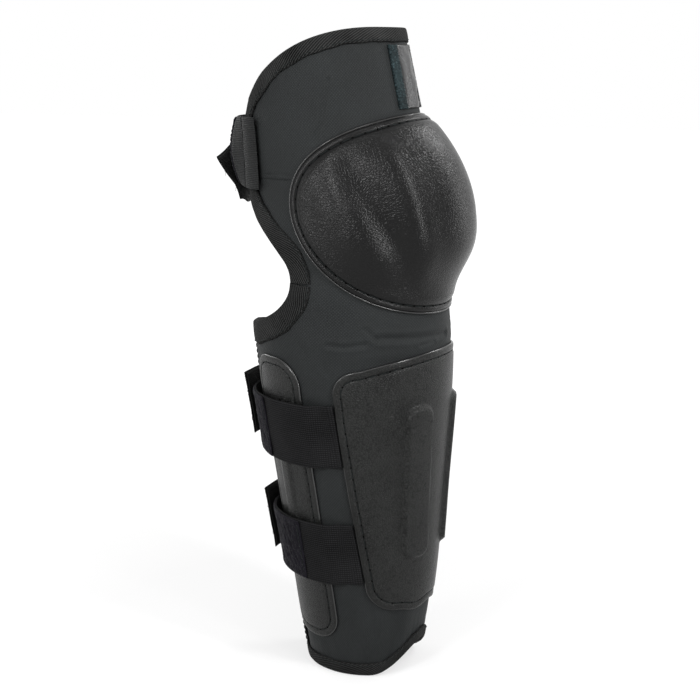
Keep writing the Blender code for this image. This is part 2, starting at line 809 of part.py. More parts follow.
class Strap:
    """A flat strap round the leg, as stations of angle, level, rise, slant and bow.

    The bow is how much nearer to the leg the strap lies along its edges than along its middle.
    """

    def __init__(self, middle, width, stations, rows=1):
        self.middle = middle
        self.width = width
        self.stations = stations
        self.rows = rows

    def between(self, first, last):
        """The same strap, cut to the stations within two angles."""
        kept = [station for station in self.stations if first <= station[0] <= last]
        return Strap(self.middle, self.width, kept, self.rows)

    def piece(self, name, base, thickness, finish, body, side, margin=0.0):
        """Band on the strap's path, its base at a level above the path's own."""

        def at(extra):
            def point(i, j):
                angle, level, rise, slant, bow = self.stations[i]
                across = (j / self.rows - 0.5) * (self.width - 2 * margin)
                sunk = bow * min(1.0, (2 * (rise + across) / self.width) ** 2)
                height = self.middle + rise + across
                return leg_point(angle + slant * across, height, level + extra - sunk)
            return point

        columns = len(self.stations) - 1
        shell(name, columns, self.rows, at(base + thickness), at(base), finish, body, side)


def lap_share(angle):
    """How far a hook strap has climbed onto the loop strap at an angle."""
    return smooth((angle - HOOK_LAP_ANGLE + LAP_CLEARANCE + LAP_RAMP) / LAP_RAMP)


def lap_level(angle):
    """Level that a hook strap gains over the loop strap, with its free end flared out."""
    flare = smooth((angle - HOOK_END_ANGLE + TAIL_FLARE_RAMP) / TAIL_FLARE_RAMP)
    return LAP_RISE * lap_share(angle) + TAIL_FLARE * flare


def strap_root_angle(height):
    """Angle at which a calf strap starts, just behind the fold line."""
    fold = fold_angle(height)
    return fold + arc_angle(STRAP_ROOT_GAP, fold, height)


def calf_strap(middle, last_angle, laps):
    """Calf strap from its root behind the fold line, over the calf plate, to its end."""
    root = strap_root_angle(middle)
    slant = (FOLD_TOP_ANGLE - FOLD_BOTTOM_ANGLE) / (FOLD_TOP_HEIGHT - FOLD_BOTTOM_HEIGHT)
    plate = CALF_PLATE_ANGLE - arc_angle(CALF_PLATE_HALF_WIDTH, CALF_PLATE_ANGLE, middle - CALF_STRAP_WIDTH / 2)
    climb = plate - STRAP_CLIMB_CLEARANCE
    stations = [(root, STRAP_OVER_PAD, 0.0, slant, 0.0)]
    stations.append((lerp(root, climb, STRAP_FLAT_SHARE), STRAP_OVER_PAD, 0.0, 0.0, 0.0))
    steps = math.ceil((last_angle - climb) / STRAP_STEP)
    for k in range(steps + 1):
        angle = lerp(climb, last_angle, k / steps)
        level = STRAP_OVER_PLATE + laps * lap_level(angle)
        rise = laps * STRAP_TAIL_LIFT * smooth((angle - climb) / (HOOK_LAP_ANGLE - climb))
        stations.append((angle, level, rise, 0.0, 0.0))
    return Strap(middle, CALF_STRAP_WIDTH, stations)


def thigh_strap(last_angle, laps):
    """Thigh strap from the thigh's back edge, slack behind the leg, to its end."""
    stations = []
    steps = math.ceil((last_angle - THIGH_EDGE_ANGLE) / STRAP_STEP)
    for k in range(steps + 1):
        angle = lerp(THIGH_EDGE_ANGLE, last_angle, k / steps)
        slack = smooth((angle - THIGH_EDGE_ANGLE) / THIGH_SLACK_ANGLE)
        level = STRAP_OVER_BINDING + THIGH_STRAP_SLACK * slack + laps * lap_level(angle)
        drop = laps * THIGH_TAIL_DROP * smooth((angle - THIGH_EDGE_ANGLE) / (HOOK_END_ANGLE - THIGH_EDGE_ANGLE))
        stations.append((angle, level, -drop, 0.0, THIGH_STRAP_BOW * slack))
    return Strap(THIGH_STRAP_HEIGHT, THIGH_STRAP_WIDTH, stations, THIGH_STRAP_ROWS)


def thigh_strap_end(last_angle):
    """The end of a thigh strap that is sewn down on the back edge."""
    stations = []
    for k in range(SEWN_END_STEPS + 1):
        angle = lerp(THIGH_STRAP_SEWN_ANGLE, last_angle, k / SEWN_END_STEPS)
        stations.append((angle, STRAP_OVER_BINDING, 0.0, 0.0, 0.0))
    return Strap(THIGH_STRAP_HEIGHT, THIGH_STRAP_WIDTH, stations)


def build_strap_pair(label, left, right, loop_angle, left_body, hook_body):
    """Loop strap and patch on the left, hook strap and patch on the right."""
    left.piece(label + "_loop_strap", 0.0, STRAP_THICKNESS, ELASTIC, left_body, LEFT)
    loop = left.between(loop_angle, LOOP_END_ANGLE)
    over = STRAP_THICKNESS + LAYER_GAP
    loop.piece(label + "_loop_patch", over, LOOP_THICKNESS, LOOP_PILE, left_body, LEFT, PATCH_MARGIN)
    right.piece(label + "_hook_strap", 0.0, STRAP_THICKNESS, ELASTIC, hook_body, RIGHT)
    hook = right.between(HOOK_LAP_ANGLE, HOOK_END_ANGLE)
    under = -LAYER_GAP - HOOK_THICKNESS
    hook.piece(label + "_hook_patch", under, HOOK_THICKNESS, HOOK_TAPE, hook_body, RIGHT, PATCH_MARGIN)


def build_calf_straps(left_wing, upper_hook, lower_hook):
    rows = (
        ("upper", UPPER_STRAP_HEIGHT, UPPER_LOOP_ANGLE, upper_hook),
        ("lower", LOWER_STRAP_HEIGHT, LOWER_LOOP_ANGLE, lower_hook),
    )
    for label, middle, loop_angle, hook_body in rows:
        left = calf_strap(middle, LOOP_END_ANGLE, laps=False)
        right = calf_strap(middle, HOOK_END_ANGLE, laps=True)
        build_strap_pair(label, left, right, loop_angle, left_wing, hook_body)


def build_thigh_straps(knee, thigh_hook):
    left = thigh_strap(LOOP_END_ANGLE, laps=False)
    right = thigh_strap(HOOK_END_ANGLE, laps=True)
    build_strap_pair("thigh", left, right, THIGH_LOOP_ANGLE, knee, thigh_hook)
    end_angle = THIGH_EDGE_ANGLE - arc_angle(STRAP_TURN_GAP, THIGH_EDGE_ANGLE, THIGH_STRAP_HEIGHT)
    end = thigh_strap_end(end_angle)
    end.piece("thigh_loop_strap_end", 0.0, STRAP_THICKNESS, ELASTIC, knee, LEFT)
    end.piece("thigh_hook_strap_end", 0.0, STRAP_THICKNESS, ELASTIC, knee, RIGHT)


def build_front_patch(body):
    def where(u, v):
        return lerp(FRONT_PATCH_ANGLE, -FRONT_PATCH_ANGLE, u), lerp(FRONT_PATCH_BOTTOM, FRONT_PATCH_TOP, v)

    top = PLATE_GAP + FRONT_PATCH_THICKNESS
    layer("front_patch", where, FRONT_PATCH_GRID, top, PLATE_GAP, SATIN_PATCH, body)


def edge_path(edge, start, end, count):
    """Evenly spaced places along an edge, each with the direction into the padding on its right."""
    step = (end - start) * PATH_STEP_SHARE
    values = [lerp(start, end, k / count) for k in range(count + 1)]
    return [(edge(value), inward(edge(value - step), edge(value + step))) for value in values]


def joined(first, second):
    """Two paths that meet at a corner, where the tape is folded halfway between them."""
    place, before = first[-1]
    halfway = Vector(before) + Vector(second[0][1])
    return first[:-1] + [(place, tuple(halfway.normalized()))] + second[1:]


def build_thigh_binding(body):
    """One tape from the left notch, over the thigh's top edge, to the right notch."""
    start = KNEE_SEAM_SIDE + SEAM_GAP / 2
    left = edge_path(up_upper_notch, start, NOTCH_UPPER_HEIGHT, NOTCH_TAPE_STEPS)
    left += edge_path(up_upper_notch, NOTCH_UPPER_HEIGHT, top_edge(THIGH_EDGE_ANGLE), EDGE_TAPE_STEPS)[1:]
    top = edge_path(along_top_edge, THIGH_EDGE_ANGLE, -THIGH_EDGE_ANGLE, TOP_TAPE_STEPS)
    right = [((-angle, height), (-along, rise)) for (angle, height), (along, rise) in reversed(left)]
    binding("thigh_binding", joined(joined(left, top), right), body)


def build_flex_binding(name, body, side):
    """Tape round the deepest part of the notch."""
    start = WING_CORNER_HEIGHT + SEAM_GAP / 2
    end = KNEE_SEAM_SIDE - SEAM_GAP / 2
    binding(name, edge_path(up_lower_notch, start, end, FLEX_TAPE_STEPS), body, side)


def build_wing_bindings(label, body, side):
    """Tapes along a wing's top edge, back edge and hem."""

    def up_back(height):
        return WING_EDGE_ANGLE, height

    corner = WING_CORNER_ANGLE + arc_angle(SEAM_GAP / 2, WING_CORNER_ANGLE, WING_CORNER_HEIGHT)
    top = edge_path(along_wing_top, WING_EDGE_ANGLE, corner, WING_TAPE_STEPS)
    binding(label + "_top_binding", top, body, side)
    low = BINDING_WIDTH + SEAM_GAP
    high = WING_BACK_HEIGHT - BINDING_WIDTH - SEAM_GAP
    binding(label + "_back_binding", edge_path(up_back, low, high, WING_TAPE_STEPS), body, side)
    fold = fold_angle(0.0)
    start = fold + arc_angle(SEAM_GAP / 2, fold, 0.0)
    hem = edge_path(along_hem, start, WING_EDGE_ANGLE, WING_HEM_STEPS)
    binding(label + "_hem_binding", hem, body, side, hem=True)


def build_shin_hem_binding(body):
    fold = fold_angle(0.0)
    end = fold - arc_angle(SEAM_GAP / 2, fold, 0.0)
    binding("shin_hem_binding", edge_path(along_hem, -end, end, SHIN_HEM_STEPS), body, hem=True)


def knee_axis():
    """Point on the axis about which the thigh bends on the shin."""
    return Vector((0.0, KNEE_AXIS_SETBACK, KNEE_AXIS_HEIGHT))


def fold_axis(side):
    """Lower and upper point of a calf wing's fold line."""
    mirror = Vector((side, 1, 1))
    low = leg_point(FOLD_BOTTOM_ANGLE, FOLD_BOTTOM_HEIGHT, FOLD_AXIS_STANDOFF)
    high = leg_point(FOLD_TOP_ANGLE, FOLD_TOP_HEIGHT, FOLD_AXIS_STANDOFF)
    return low * mirror, high * mirror


def strap_axis(middle):
    """Lower and upper point of a right calf strap's root line."""
    mirror = Vector((RIGHT, 1, 1))
    level = STRAP_OVER_PAD + STRAP_THICKNESS / 2
    ends = (middle - CALF_STRAP_WIDTH / 2, middle + CALF_STRAP_WIDTH / 2)
    low, high = [leg_point(strap_root_angle(height), height, level) * mirror for height in ends]
    return low, high


def thigh_strap_axis():
    """Lower and upper point of the line where the right thigh strap leaves the thigh's edge."""
    mirror = Vector((RIGHT, 1, 1))
    level = STRAP_OVER_BINDING + STRAP_THICKNESS / 2
    half = THIGH_STRAP_WIDTH / 2
    ends = (THIGH_STRAP_HEIGHT - half, THIGH_STRAP_HEIGHT + half)
    low, high = [leg_point(THIGH_EDGE_ANGLE, height, level) * mirror for height in ends]
    return low, high


def clear_scene():
    for item in list(bpy.data.objects):
        bpy.data.objects.remove(item, do_unlink=True)
    for item in list(bpy.data.collections):
        bpy.data.collections.remove(item)


def stand_on_origin(root, collection):
    """Move the whole guard so that it stands over the origin."""
    bpy.context.view_layer.update()
    corners = []
    for piece in collection.objects:
        if piece.type == "MESH":
            corners += [piece.matrix_world @ vertex.co for vertex in piece.data.vertices]
    low = [min(corner[k] for corner in corners) for k in range(3)]
    high = [max(corner[k] for corner in corners) for k in range(3)]
    root.empty.location = (-(low[0] + high[0]) / 2, -(low[1] + high[1]) / 2, -low[2])
    bpy.context.view_layer.update()


def main():
    clear_scene()
    collection = bpy.data.collections.new(GUARD_NAME)
    bpy.context.scene.collection.children.link(collection)
    shin = Body("shin", None, Vector((0.0, 0.0, 0.0)), collection)
    knee = Body("knee_flex", shin, knee_axis(), collection)
    left_wing = Body("left_wing_open", shin, fold_axis(LEFT)[0], collection)
    right_wing = Body("right_wing_open", shin, fold_axis(RIGHT)[0], collection)
    upper_hook = Body("upper_strap_peel", right_wing, strap_axis(UPPER_STRAP_HEIGHT)[0], collection)
    lower_hook = Body("lower_strap_peel", right_wing, strap_axis(LOWER_STRAP_HEIGHT)[0], collection)
    thigh_hook = Body("thigh_strap_peel", knee, thigh_strap_axis()[0], collection)

    padded_panel("shin", shin_place(), SHIN_GRID, shin)
    padded_panel("flex", flex_place(), FLEX_GRID, shin)
    padded_panel("knee", knee_place(), KNEE_GRID, knee)
    padded_panel("thigh", thigh_place(), THIGH_GRID, knee)
    for label, body, side in (("left_calf", left_wing, LEFT), ("right_calf", right_wing, RIGHT)):
        padded_panel(label, wing_place(), WING_GRID, body, side)
        build_calf_plate(label + "_plate", body, side)
        build_wing_bindings(label, body, side)
    build_shin_plate(shin)
    build_knee_cap(knee)
    build_front_patch(knee)
    build_thigh_binding(knee)
    build_flex_binding("left_notch_binding", shin, LEFT)
    build_flex_binding("right_notch_binding", shin, RIGHT)
    build_shin_hem_binding(shin)
    build_calf_straps(left_wing, upper_hook, lower_hook)
    build_thigh_straps(knee, thigh_hook)
    stand_on_origin(shin, collection)


if __name__ == "__main__":
    main()
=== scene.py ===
"""Dressed hard-shell knee and shin guard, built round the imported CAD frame.

Every piece is wrapped round the leg form that the frame was built on. A place is an
angle in degrees (0 at the front, positive towards the left, 180 at the back) with a
height, and a level is measured outwards along the form's normal. Lengths are metres.
"""

import logging
import math
from collections.abc import Callable, Sequence
from dataclasses import dataclass, field
from enum import Enum

import bmesh
import bpy
import numpy as np
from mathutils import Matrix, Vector


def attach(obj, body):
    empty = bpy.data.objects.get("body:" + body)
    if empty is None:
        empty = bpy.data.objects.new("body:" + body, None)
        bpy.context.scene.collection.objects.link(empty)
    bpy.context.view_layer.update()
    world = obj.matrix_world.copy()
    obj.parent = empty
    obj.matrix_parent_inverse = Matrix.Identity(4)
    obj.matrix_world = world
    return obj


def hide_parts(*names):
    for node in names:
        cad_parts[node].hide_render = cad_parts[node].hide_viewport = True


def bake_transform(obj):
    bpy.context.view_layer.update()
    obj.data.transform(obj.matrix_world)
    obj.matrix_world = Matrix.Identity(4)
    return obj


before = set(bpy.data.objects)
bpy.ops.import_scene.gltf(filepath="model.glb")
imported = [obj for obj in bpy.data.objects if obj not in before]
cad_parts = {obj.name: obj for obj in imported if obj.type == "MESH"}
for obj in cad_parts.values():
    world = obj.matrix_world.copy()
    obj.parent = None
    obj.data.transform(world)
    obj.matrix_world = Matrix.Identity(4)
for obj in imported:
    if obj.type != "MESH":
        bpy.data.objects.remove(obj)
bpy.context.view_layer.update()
LOG = logging.getLogger("knee_guard")

Array = np.ndarray
Places = tuple[Array, Array]
Edge = Callable[[Array], Places]
Zone = Callable[[Array, Array], Array]
Colour = tuple[float, float, float]

# Levels of the padding and of what lies on it, as in the frame
PAD_BASE = -0.0075
PLATE_LEVEL = 0.0006
STRAP_OVER_PAD = 0.0006
STRAP_OVER_PLATE = 0.0052
STRAP_OVER_TAPE = 0.0024
EDGE_INSET = 0.0024
SEAM_GAP = 0.00006
SEAM_TUCK = 0.0006
ANGLE_STEP = 0.5
HEIGHT_STEP = 0.0005
SHARP_ANGLE = math.radians(55)


class Side(Enum):
    """Side of the leg that a piece lies on; the value mirrors it."""

    LEFT = 1
    RIGHT = -1


class Body(Enum):
    """CAD bodies that pieces ride on."""

    SHIN = "shin"
    KNEE = "knee"
    LEFT_WING = "left_wing"
    RIGHT_WING = "right_wing"
    UPPER_STRAP = "upper_strap"
    LOWER_STRAP = "lower_strap"
    THIGH_STRAP = "thigh_strap"


class Slot(Enum):
    """The record's material slots."""

    NYLON = "nylon_cover"
    TWILL = "binding_twill"
    CAP = "knee_cap_shell"
    PLATE = "plate_shell"
    ELASTIC = "strap_elastic"
    PILE = "loop_pile"
    HOOKS = "hook_tape"
    PATCH = "front_patch_satin"


class Border(Enum):
    """How a pad's edge is finished."""

    SEAM = "tucked under the next pad"
    LAPPED = "lapped over the next pad"
    FLUSH = "runs on into the next pad"
    BOUND = "folded in tape"


def lerp(a: Array | float, b: Array | float, t: Array | float) -> Array | float:
    """Value between a and b at share t."""
    return a + (b - a) * t


def ease(t: Array | float) -> Array:
    """Smooth step from 0 to 1."""
    t = np.clip(t, 0.0, 1.0)
    return t * t * (3 - 2 * t)


def bell(x: Array, width: float) -> Array:
    """Bell curve of height 1 about 0."""
    return np.exp(-(x / width) ** 2)


def unit(vectors: Array) -> Array:
    """Vectors scaled to length 1."""
    return vectors / np.maximum(np.linalg.norm(vectors, axis=-1, keepdims=True), 1e-12)


def run_length(points: Array) -> Array:
    """Length along a row of points, from 0 at the first."""
    steps = np.linalg.norm(np.diff(points, axis=0), axis=-1)
    return np.concatenate([np.zeros_like(steps[:1]), np.cumsum(steps, axis=0)])


def spread(cells: int, kinks: Sequence[float] = ()) -> Array:
    """Shares from 0 to 1, closer together at both ends.

    Args:
        cells: how many even cells there are before the closer lines are added.
        kinks: shares that must have a line of their own.

    Returns:
        The sorted shares.
    """
    even = np.linspace(0, 1, cells + 1)
    close = np.array([0.2, 0.5]) / cells
    every = np.concatenate([even, close, 1 - close, np.asarray(kinks, float)])
    kept = np.unique(np.round(every, 6))
    return kept


class StationCurve:
    """Smooth curve through stations that never overshoots them."""

    def __init__(self, knots: Sequence[float], values: Sequence[float]) -> None:
        """Find the slope at each station.

        Args:
            knots: rising places of the stations.
            values: the curve's value at each.
        """
        self.knots = np.asarray(knots, float)
        self.values = np.asarray(values, float)
        steps = np.diff(self.knots)
        slopes = np.diff(self.values) / steps
        self.slopes = np.concatenate([slopes[:1], np.zeros(len(slopes) - 1), slopes[-1:]])
        for i in range(1, len(slopes)):
            before, after = slopes[i - 1], slopes[i]
            if before * after > 0:
                near = 2 * steps[i] + steps[i - 1]
                far = steps[i] + 2 * steps[i - 1]
                self.slopes[i] = (near + far) / (near / before + far / after)

    def __call__(self, x: Array | float) -> Array:
        """Value of the curve at x.

        Args:
            x: one place or many.

        Returns:
            The values there.
        """
        x = np.asarray(x, float)
        i = np.clip(np.searchsorted(self.knots, x, side="right") - 1, 0, len(self.knots) - 2)
        step = self.knots[i + 1] - self.knots[i]
        t = (x - self.knots[i]) / step
        start = (1 + 2 * t) * (1 - t) ** 2 * self.values[i]
        end = t * t * (3 - 2 * t) * self.values[i + 1]
        bend = t * (1 - t) ** 2 * self.slopes[i] + t * t * (t - 1) * self.slopes[i + 1]
        return start + end + step * bend


@dataclass
class LegForm:
    """Form of the leg that the outside of the padding follows."""

    heights: tuple[float, ...] = (0.0, 0.060, 0.150, 0.290, 0.380, 0.520)
    half_widths: tuple[float, ...] = (0.0430, 0.0520, 0.0625, 0.0745, 0.0705, 0.0625)
    half_depths: tuple[float, ...] = (0.0464, 0.0561, 0.0674, 0.0803, 0.0760, 0.0655)
    setbacks: tuple[float, ...] = (0.0, 0.0, 0.0043, 0.0121, 0.0199, 0.0395)
    shift: tuple[float, float, float] = (0.0, -0.0134690, 0.0)

    def __post_init__(self) -> None:
        """Make the curves through the stations."""
        self.width = StationCurve(self.heights, self.half_widths)
        self.depth = StationCurve(self.heights, self.half_depths)
        self.setback = StationCurve(self.heights, self.setbacks)

    def skin(self, angle: Array, height: Array) -> Array:
        """Points on the form itself.

        Args:
            angle: angles in degrees.
            height: heights of the same shape.

        Returns:
            Points, with x, y and z on the last axis.
        """
        turn = np.radians(angle)
        x = -self.width(height) * np.sin(turn)
        y = self.setback(height) - self.depth(height) * np.cos(turn)
        return np.stack([x, y, np.broadcast_to(height, np.shape(x))], axis=-1)

    def normals(self, angle: Array, height: Array) -> Array:
        """Outward normals of the form.

        Args:
            angle: angles in degrees.
            height: heights of the same shape.

        Returns:
            Unit vectors.
        """
        across = self.skin(angle - ANGLE_STEP, height) - self.skin(angle + ANGLE_STEP, height)
        along = self.skin(angle, height + HEIGHT_STEP) - self.skin(angle, height - HEIGHT_STEP)
        return unit(np.cross(across, along))

    def points(self, angle: Array, height: Array, level: Array | float = 0.0) -> Array:
        """Points at a level over the form.

        Args:
            angle: angles in degrees.
            height: heights of the same shape.
            level: distance along the normal.

        Returns:
            Points, with x, y and z on the last axis.
        """
        angle, height = np.broadcast_arrays(np.asarray(angle, float), np.asarray(height, float))
        level = np.broadcast_to(level, angle.shape)[..., None]
        return self.skin(angle, height) + self.normals(angle, height) * level

    def radius(self, angle: Array, height: Array) -> Array:
        """Arc length round the form for each radian."""
        turn = np.radians(angle)
        return np.hypot(self.width(height) * np.cos(turn), self.depth(height) * np.sin(turn))

    def degrees(self, length: Array | float, angle: Array, height: Array) -> Array:
        """Angle that an arc length takes up round the form."""
        return np.degrees(length / self.radius(angle, height))

    def inward(self, before: Places, after: Places) -> Places:
        """Direction into the padding, on the right of an edge.

        Args:
            before: places a step back along the edge.
            after: places a step on along it.

        Returns:
            Share along the leg's round and share upwards.
        """
        along = -np.radians(after[0] - before[0]) * self.radius(*before)
        rise = after[1] - before[1]
        length = np.hypot(along, rise)
        return rise / length, -along / length

    def moved(self, place: Places, direction: Places, distance: Array | float) -> Places:
        """Places moved along the form by a distance."""
        angle = place[0] - self.degrees(direction[0] * distance, *place)
        return angle, place[1] + direction[1] * distance

    def flat(self, angle: Array, height: Array) -> Array:
        """Flat coordinates for weaves and grains, in metres."""
        return np.stack([np.radians(angle) * 0.072, np.broadcast_to(height, np.shape(angle))], axis=-1)


FORM = LegForm()


@dataclass
class Surface:
    """Points, faces and flat coordinates gathered for one piece, in the leg's frame."""

    points: list[Array] = field(default_factory=list)
    flats: list[Array] = field(default_factory=list)
    grains: list[Array] = field(default_factory=list)
    faces: list[tuple[int, ...]] = field(default_factory=list)
    slots: list[int] = field(default_factory=list)
    count: int = 0

    def add(self, points: Array, flats: Array, grain: Array | float = 1.0) -> Array:
        """Add points.

        Args:
            points: any grid of points.
            flats: their flat coordinates.
            grain: share of the finish's grain at each.

        Returns:
            Their numbers, in the grid's shape.
        """
        shape = points.shape[:-1]
        numbers = np.arange(self.count, self.count + int(np.prod(shape))).reshape(shape)
        self.points.append(points.reshape(-1, 3))
        self.flats.append(np.broadcast_to(flats, (*shape, 2)).reshape(-1, 2))
        self.grains.append(np.broadcast_to(grain, shape).reshape(-1))
        self.count += numbers.size
        return numbers

    def quads(self, grid: Array, slot: int = 0, closed: bool = False) -> None:
        """Add the faces of a grid.

        Args:
            grid: point numbers, in rows and columns.
            slot: number of the finish.
            closed: whether the last column joins the first.
        """
        if closed:
            grid = np.concatenate([grid, grid[:, :1]], axis=1)
        corners = (grid[:-1, :-1], grid[1:, :-1], grid[1:, 1:], grid[:-1, 1:])
        made = np.stack([corner.ravel() for corner in corners], axis=-1)
        self.faces += [tuple(face) for face in made.tolist()]
        self.slots += [slot] * len(made)

    def face(self, numbers: Sequence[int], slot: int = 0) -> None:
        """Add one face."""
        self.faces.append(tuple(int(number) for number in numbers))
        self.slots.append(slot)

    def shell(self, outer: Array, inner: Array, flats: Array, slots: tuple[int, int] = (0, 0)) -> None:
        """Add a closed shell between two grids of points.

        Args:
            outer: points of the outside.
            inner: points of the inside.
            flats: flat coordinates for both.
            slots: numbers of the finishes outside and inside.
        """
        top, base = self.add(outer, flats), self.add(inner, flats)
        self.quads(top, slots[0])
        self.quads(base, slots[1])
        for a, b in ((top[0], base[0]), (top[-1], base[-1]), (top[:, 0], base[:, 0]), (top[:, -1], base[:, -1])):
            self.quads(np.stack([a, b]), slots[0])

    def tube(self, rings: Array, flats: Array, slot: int = 0) -> None:
        """Add a closed tube through rings of points, with flat ends.

        Args:
            rings: points by ring and place round it.
            flats: their flat coordinates.
            slot: number of the finish.
        """
        grid = self.add(rings, flats)
        self.quads(grid, slot, closed=True)
        self.face(grid[0], slot)
        self.face(grid[-1], slot)

    def piece(self, name: str, finishes: Sequence["Finish"], side: Side = Side.LEFT) -> bpy.types.Object:
        """Make the object.

        Args:
            name: name of the piece.
            finishes: finishes in the order of their numbers.
            side: side of the leg; the right is mirrored.

        Returns:
            The object, linked into the scene.
        """
        points = np.concatenate(self.points) * (side.value, 1, 1) + FORM.shift
        mesh = bpy.data.meshes.new(name)
        mesh.from_pydata(points.tolist(), [], self.faces)
        mesh.polygons.foreach_set("material_index", self.slots)
        corners = np.empty(len(mesh.loops), np.int32)
        mesh.loops.foreach_get("vertex_index", corners)
        layer = mesh.uv_layers.new(name="flat")
        layer.data.foreach_set("uv", np.concatenate(self.flats)[corners].astype(np.float32).ravel())
        grain = mesh.attributes.new("grain", "FLOAT", "POINT")
        grain.data.foreach_set("value", np.concatenate(self.grains).astype(np.float32))
        shaped = bmesh.new()
        shaped.from_mesh(mesh)
        bmesh.ops.recalc_face_normals(shaped, faces=shaped.faces)
        shaped.to_mesh(mesh)
        shaped.free()
        mesh.shade_smooth()
        mesh.set_sharp_from_angle(angle=SHARP_ANGLE)
        for finish in finishes:
            mesh.materials.append(finish.material())
        made = bpy.data.objects.new(name, mesh)
        bpy.context.scene.collection.objects.link(made)
        return made


class NodeSheet:
    """Node tree of one finish, with the patterns that finishes share."""

    def __init__(self, name: str) -> None:
        """Start a material with its shader."""
        self.material = bpy.data.materials.new(name)
        self.material.use_nodes = True
        self.shader = self.material.node_tree.nodes["Principled BSDF"]
        self.flat = self.put("TexCoord").outputs["UV"]

    def put(self, kind: str, feeds: dict | None = None, **settings: object) -> bpy.types.Node:
        """Add a node.

        Args:
            kind: node type without its prefix.
            feeds: values or sockets for its inputs.
            settings: properties of the node.

        Returns:
            The node.
        """
        node = self.material.node_tree.nodes.new("ShaderNode" + kind)
        for key, value in settings.items():
            setattr(node, key, value)
        for key, feed in (feeds or {}).items():
            if isinstance(feed, bpy.types.NodeSocket):
                self.material.node_tree.links.new(feed, node.inputs[key])
            else:
                node.inputs[key].default_value = feed
        return node

    def sum(self, operation: str, first: object, second: object = 0.0) -> bpy.types.NodeSocket:
        """Result of a Math node."""
        return self.put("Math", {0: first, 1: second}, operation=operation).outputs[0]

    def turned(self, degrees: float, stretch: tuple[float, float] = (1.0, 1.0)) -> bpy.types.NodeSocket:
        """Flat coordinates, turned and stretched."""
        feeds = {"Vector": self.flat, "Rotation": (0, 0, math.radians(degrees)), "Scale": (*stretch, 1)}
        return self.put("Mapping", feeds).outputs[0]

    def waves(self, vector: bpy.types.NodeSocket, period: float) -> bpy.types.NodeSocket:
        """Even waves along the vector's first axis."""
        return self.put("TexWave", {"Vector": vector, "Scale": 0.314159 / period}).outputs["Fac"]

    def noise(self, vector: bpy.types.NodeSocket, size: float, detail: float = 2.0) -> bpy.types.NodeSocket:
        """Cloudy noise with features of a size."""
        return self.put("TexNoise", {"Vector": vector, "Scale": 1 / size, "Detail": detail}).outputs[0]

    def cells(self, vector: bpy.types.NodeSocket, size: float, feature: str = "F1") -> bpy.types.NodeSocket:
        """Distance in a field of cells of a size."""
        return self.put("TexVoronoi", {"Vector": vector, "Scale": 1 / size}, feature=feature).outputs["Distance"]

    def ranged(self, value: bpy.types.NodeSocket, low: float, high: float, to: tuple[float, float] = (0, 1)) -> bpy.types.NodeSocket:
        """Value from one range carried to another."""
        feeds = {"Value": value, "From Min": low, "From Max": high, "To Min": to[0], "To Max": to[1]}
        return self.put("MapRange", feeds).outputs[0]

    def tint(self, share: bpy.types.NodeSocket, dark: Colour, light: Colour) -> bpy.types.NodeSocket:
        """Colour between a dark and a light one.

        Args:
            share: 0 for dark to 1 for light.
            dark: linear colour at 0.
            light: linear colour at 1.

        Returns:
            The colour's socket.
        """
        ramp = self.put("ValToRGB", {"Fac": share})
        ramp.color_ramp.elements[0].color = (*dark, 1)
        ramp.color_ramp.elements[1].color = (*light, 1)
        return ramp.outputs["Color"]

    def feed(self, name: str, value: object) -> None:
        """Set or link one input of the shader."""
        if isinstance(value, bpy.types.NodeSocket):
            self.material.node_tree.links.new(value, self.shader.inputs[name])
        else:
            self.shader.inputs[name].default_value = value


Pattern = tuple[bpy.types.NodeSocket, bpy.types.NodeSocket]


@dataclass(frozen=True)
class Finish:
    """Colours from dark to light, gloss, and depth and size of the relief."""

    name: str
    dark: Colour
    light: Colour
    roughness: tuple[float, float]
    specular: float
    depth: float
    size: float
    sheen: float = 0.0
    coat: float = 0.0

    def pattern(self, sheet: NodeSheet) -> Pattern:
        """Tone and height of the surface; each finish has its own."""
        raise NotImplementedError

    def material(self) -> bpy.types.Material:
        """Make the material, or find the one made before.

        Returns:
            The material.
        """
        found = bpy.data.materials.get(self.name)
        if found is not None:
            return found
        sheet = NodeSheet(self.name)
        tone, height = self.pattern(sheet)
        cloud = sheet.noise(sheet.flat, 0.035, 4.0)
        worn = sheet.sum("ADD", sheet.sum("MULTIPLY", tone, 0.65), sheet.ranged(cloud, 0.3, 0.7, (0.0, 0.35)))
        sheet.feed("Base Color", sheet.tint(worn, self.dark, self.light))
        sheet.feed("Roughness", sheet.ranged(cloud, 0.3, 0.7, self.roughness))
        sheet.feed("Specular IOR Level", self.specular)
        if self.sheen:
            sheet.feed("Sheen Weight", self.sheen)
            sheet.feed("Sheen Roughness", 0.4)
        if self.coat:
            sheet.feed("Coat Weight", self.coat)
            sheet.feed("Coat Roughness", 0.25)
        bump = sheet.put("Bump", {"Height": height, "Distance": self.depth, "Strength": 1.0})
        sheet.feed("Normal", bump.outputs["Normal"])
        return sheet.material


class WovenNylon(Finish):
    """Tight plain weave laid on the slant."""

    def pattern(self, sheet: NodeSheet) -> Pattern:
        """Two crossing sets of yarns with slubs."""
        warp = sheet.waves(sheet.turned(45), self.size)
        weft = sheet.waves(sheet.turned(-45), self.size)
        yarns = sheet.sum("MULTIPLY", warp, weft)
        slubs = sheet.noise(sheet.turned(45, (1.0, 0.2)), 0.0012)
        height = sheet.sum("ADD", yarns, sheet.sum("MULTIPLY", slubs, 0.5))
        return sheet.sum("MINIMUM", height, 1.0), height


class KnitMesh(Finish):
    """Open knitted lining with small round holes."""

    def pattern(self, sheet: NodeSheet) -> Pattern:
        """Round holes in a loose grid."""
        holes = sheet.ranged(sheet.cells(sheet.flat, self.size), 0.25, 0.5)
        return holes, holes


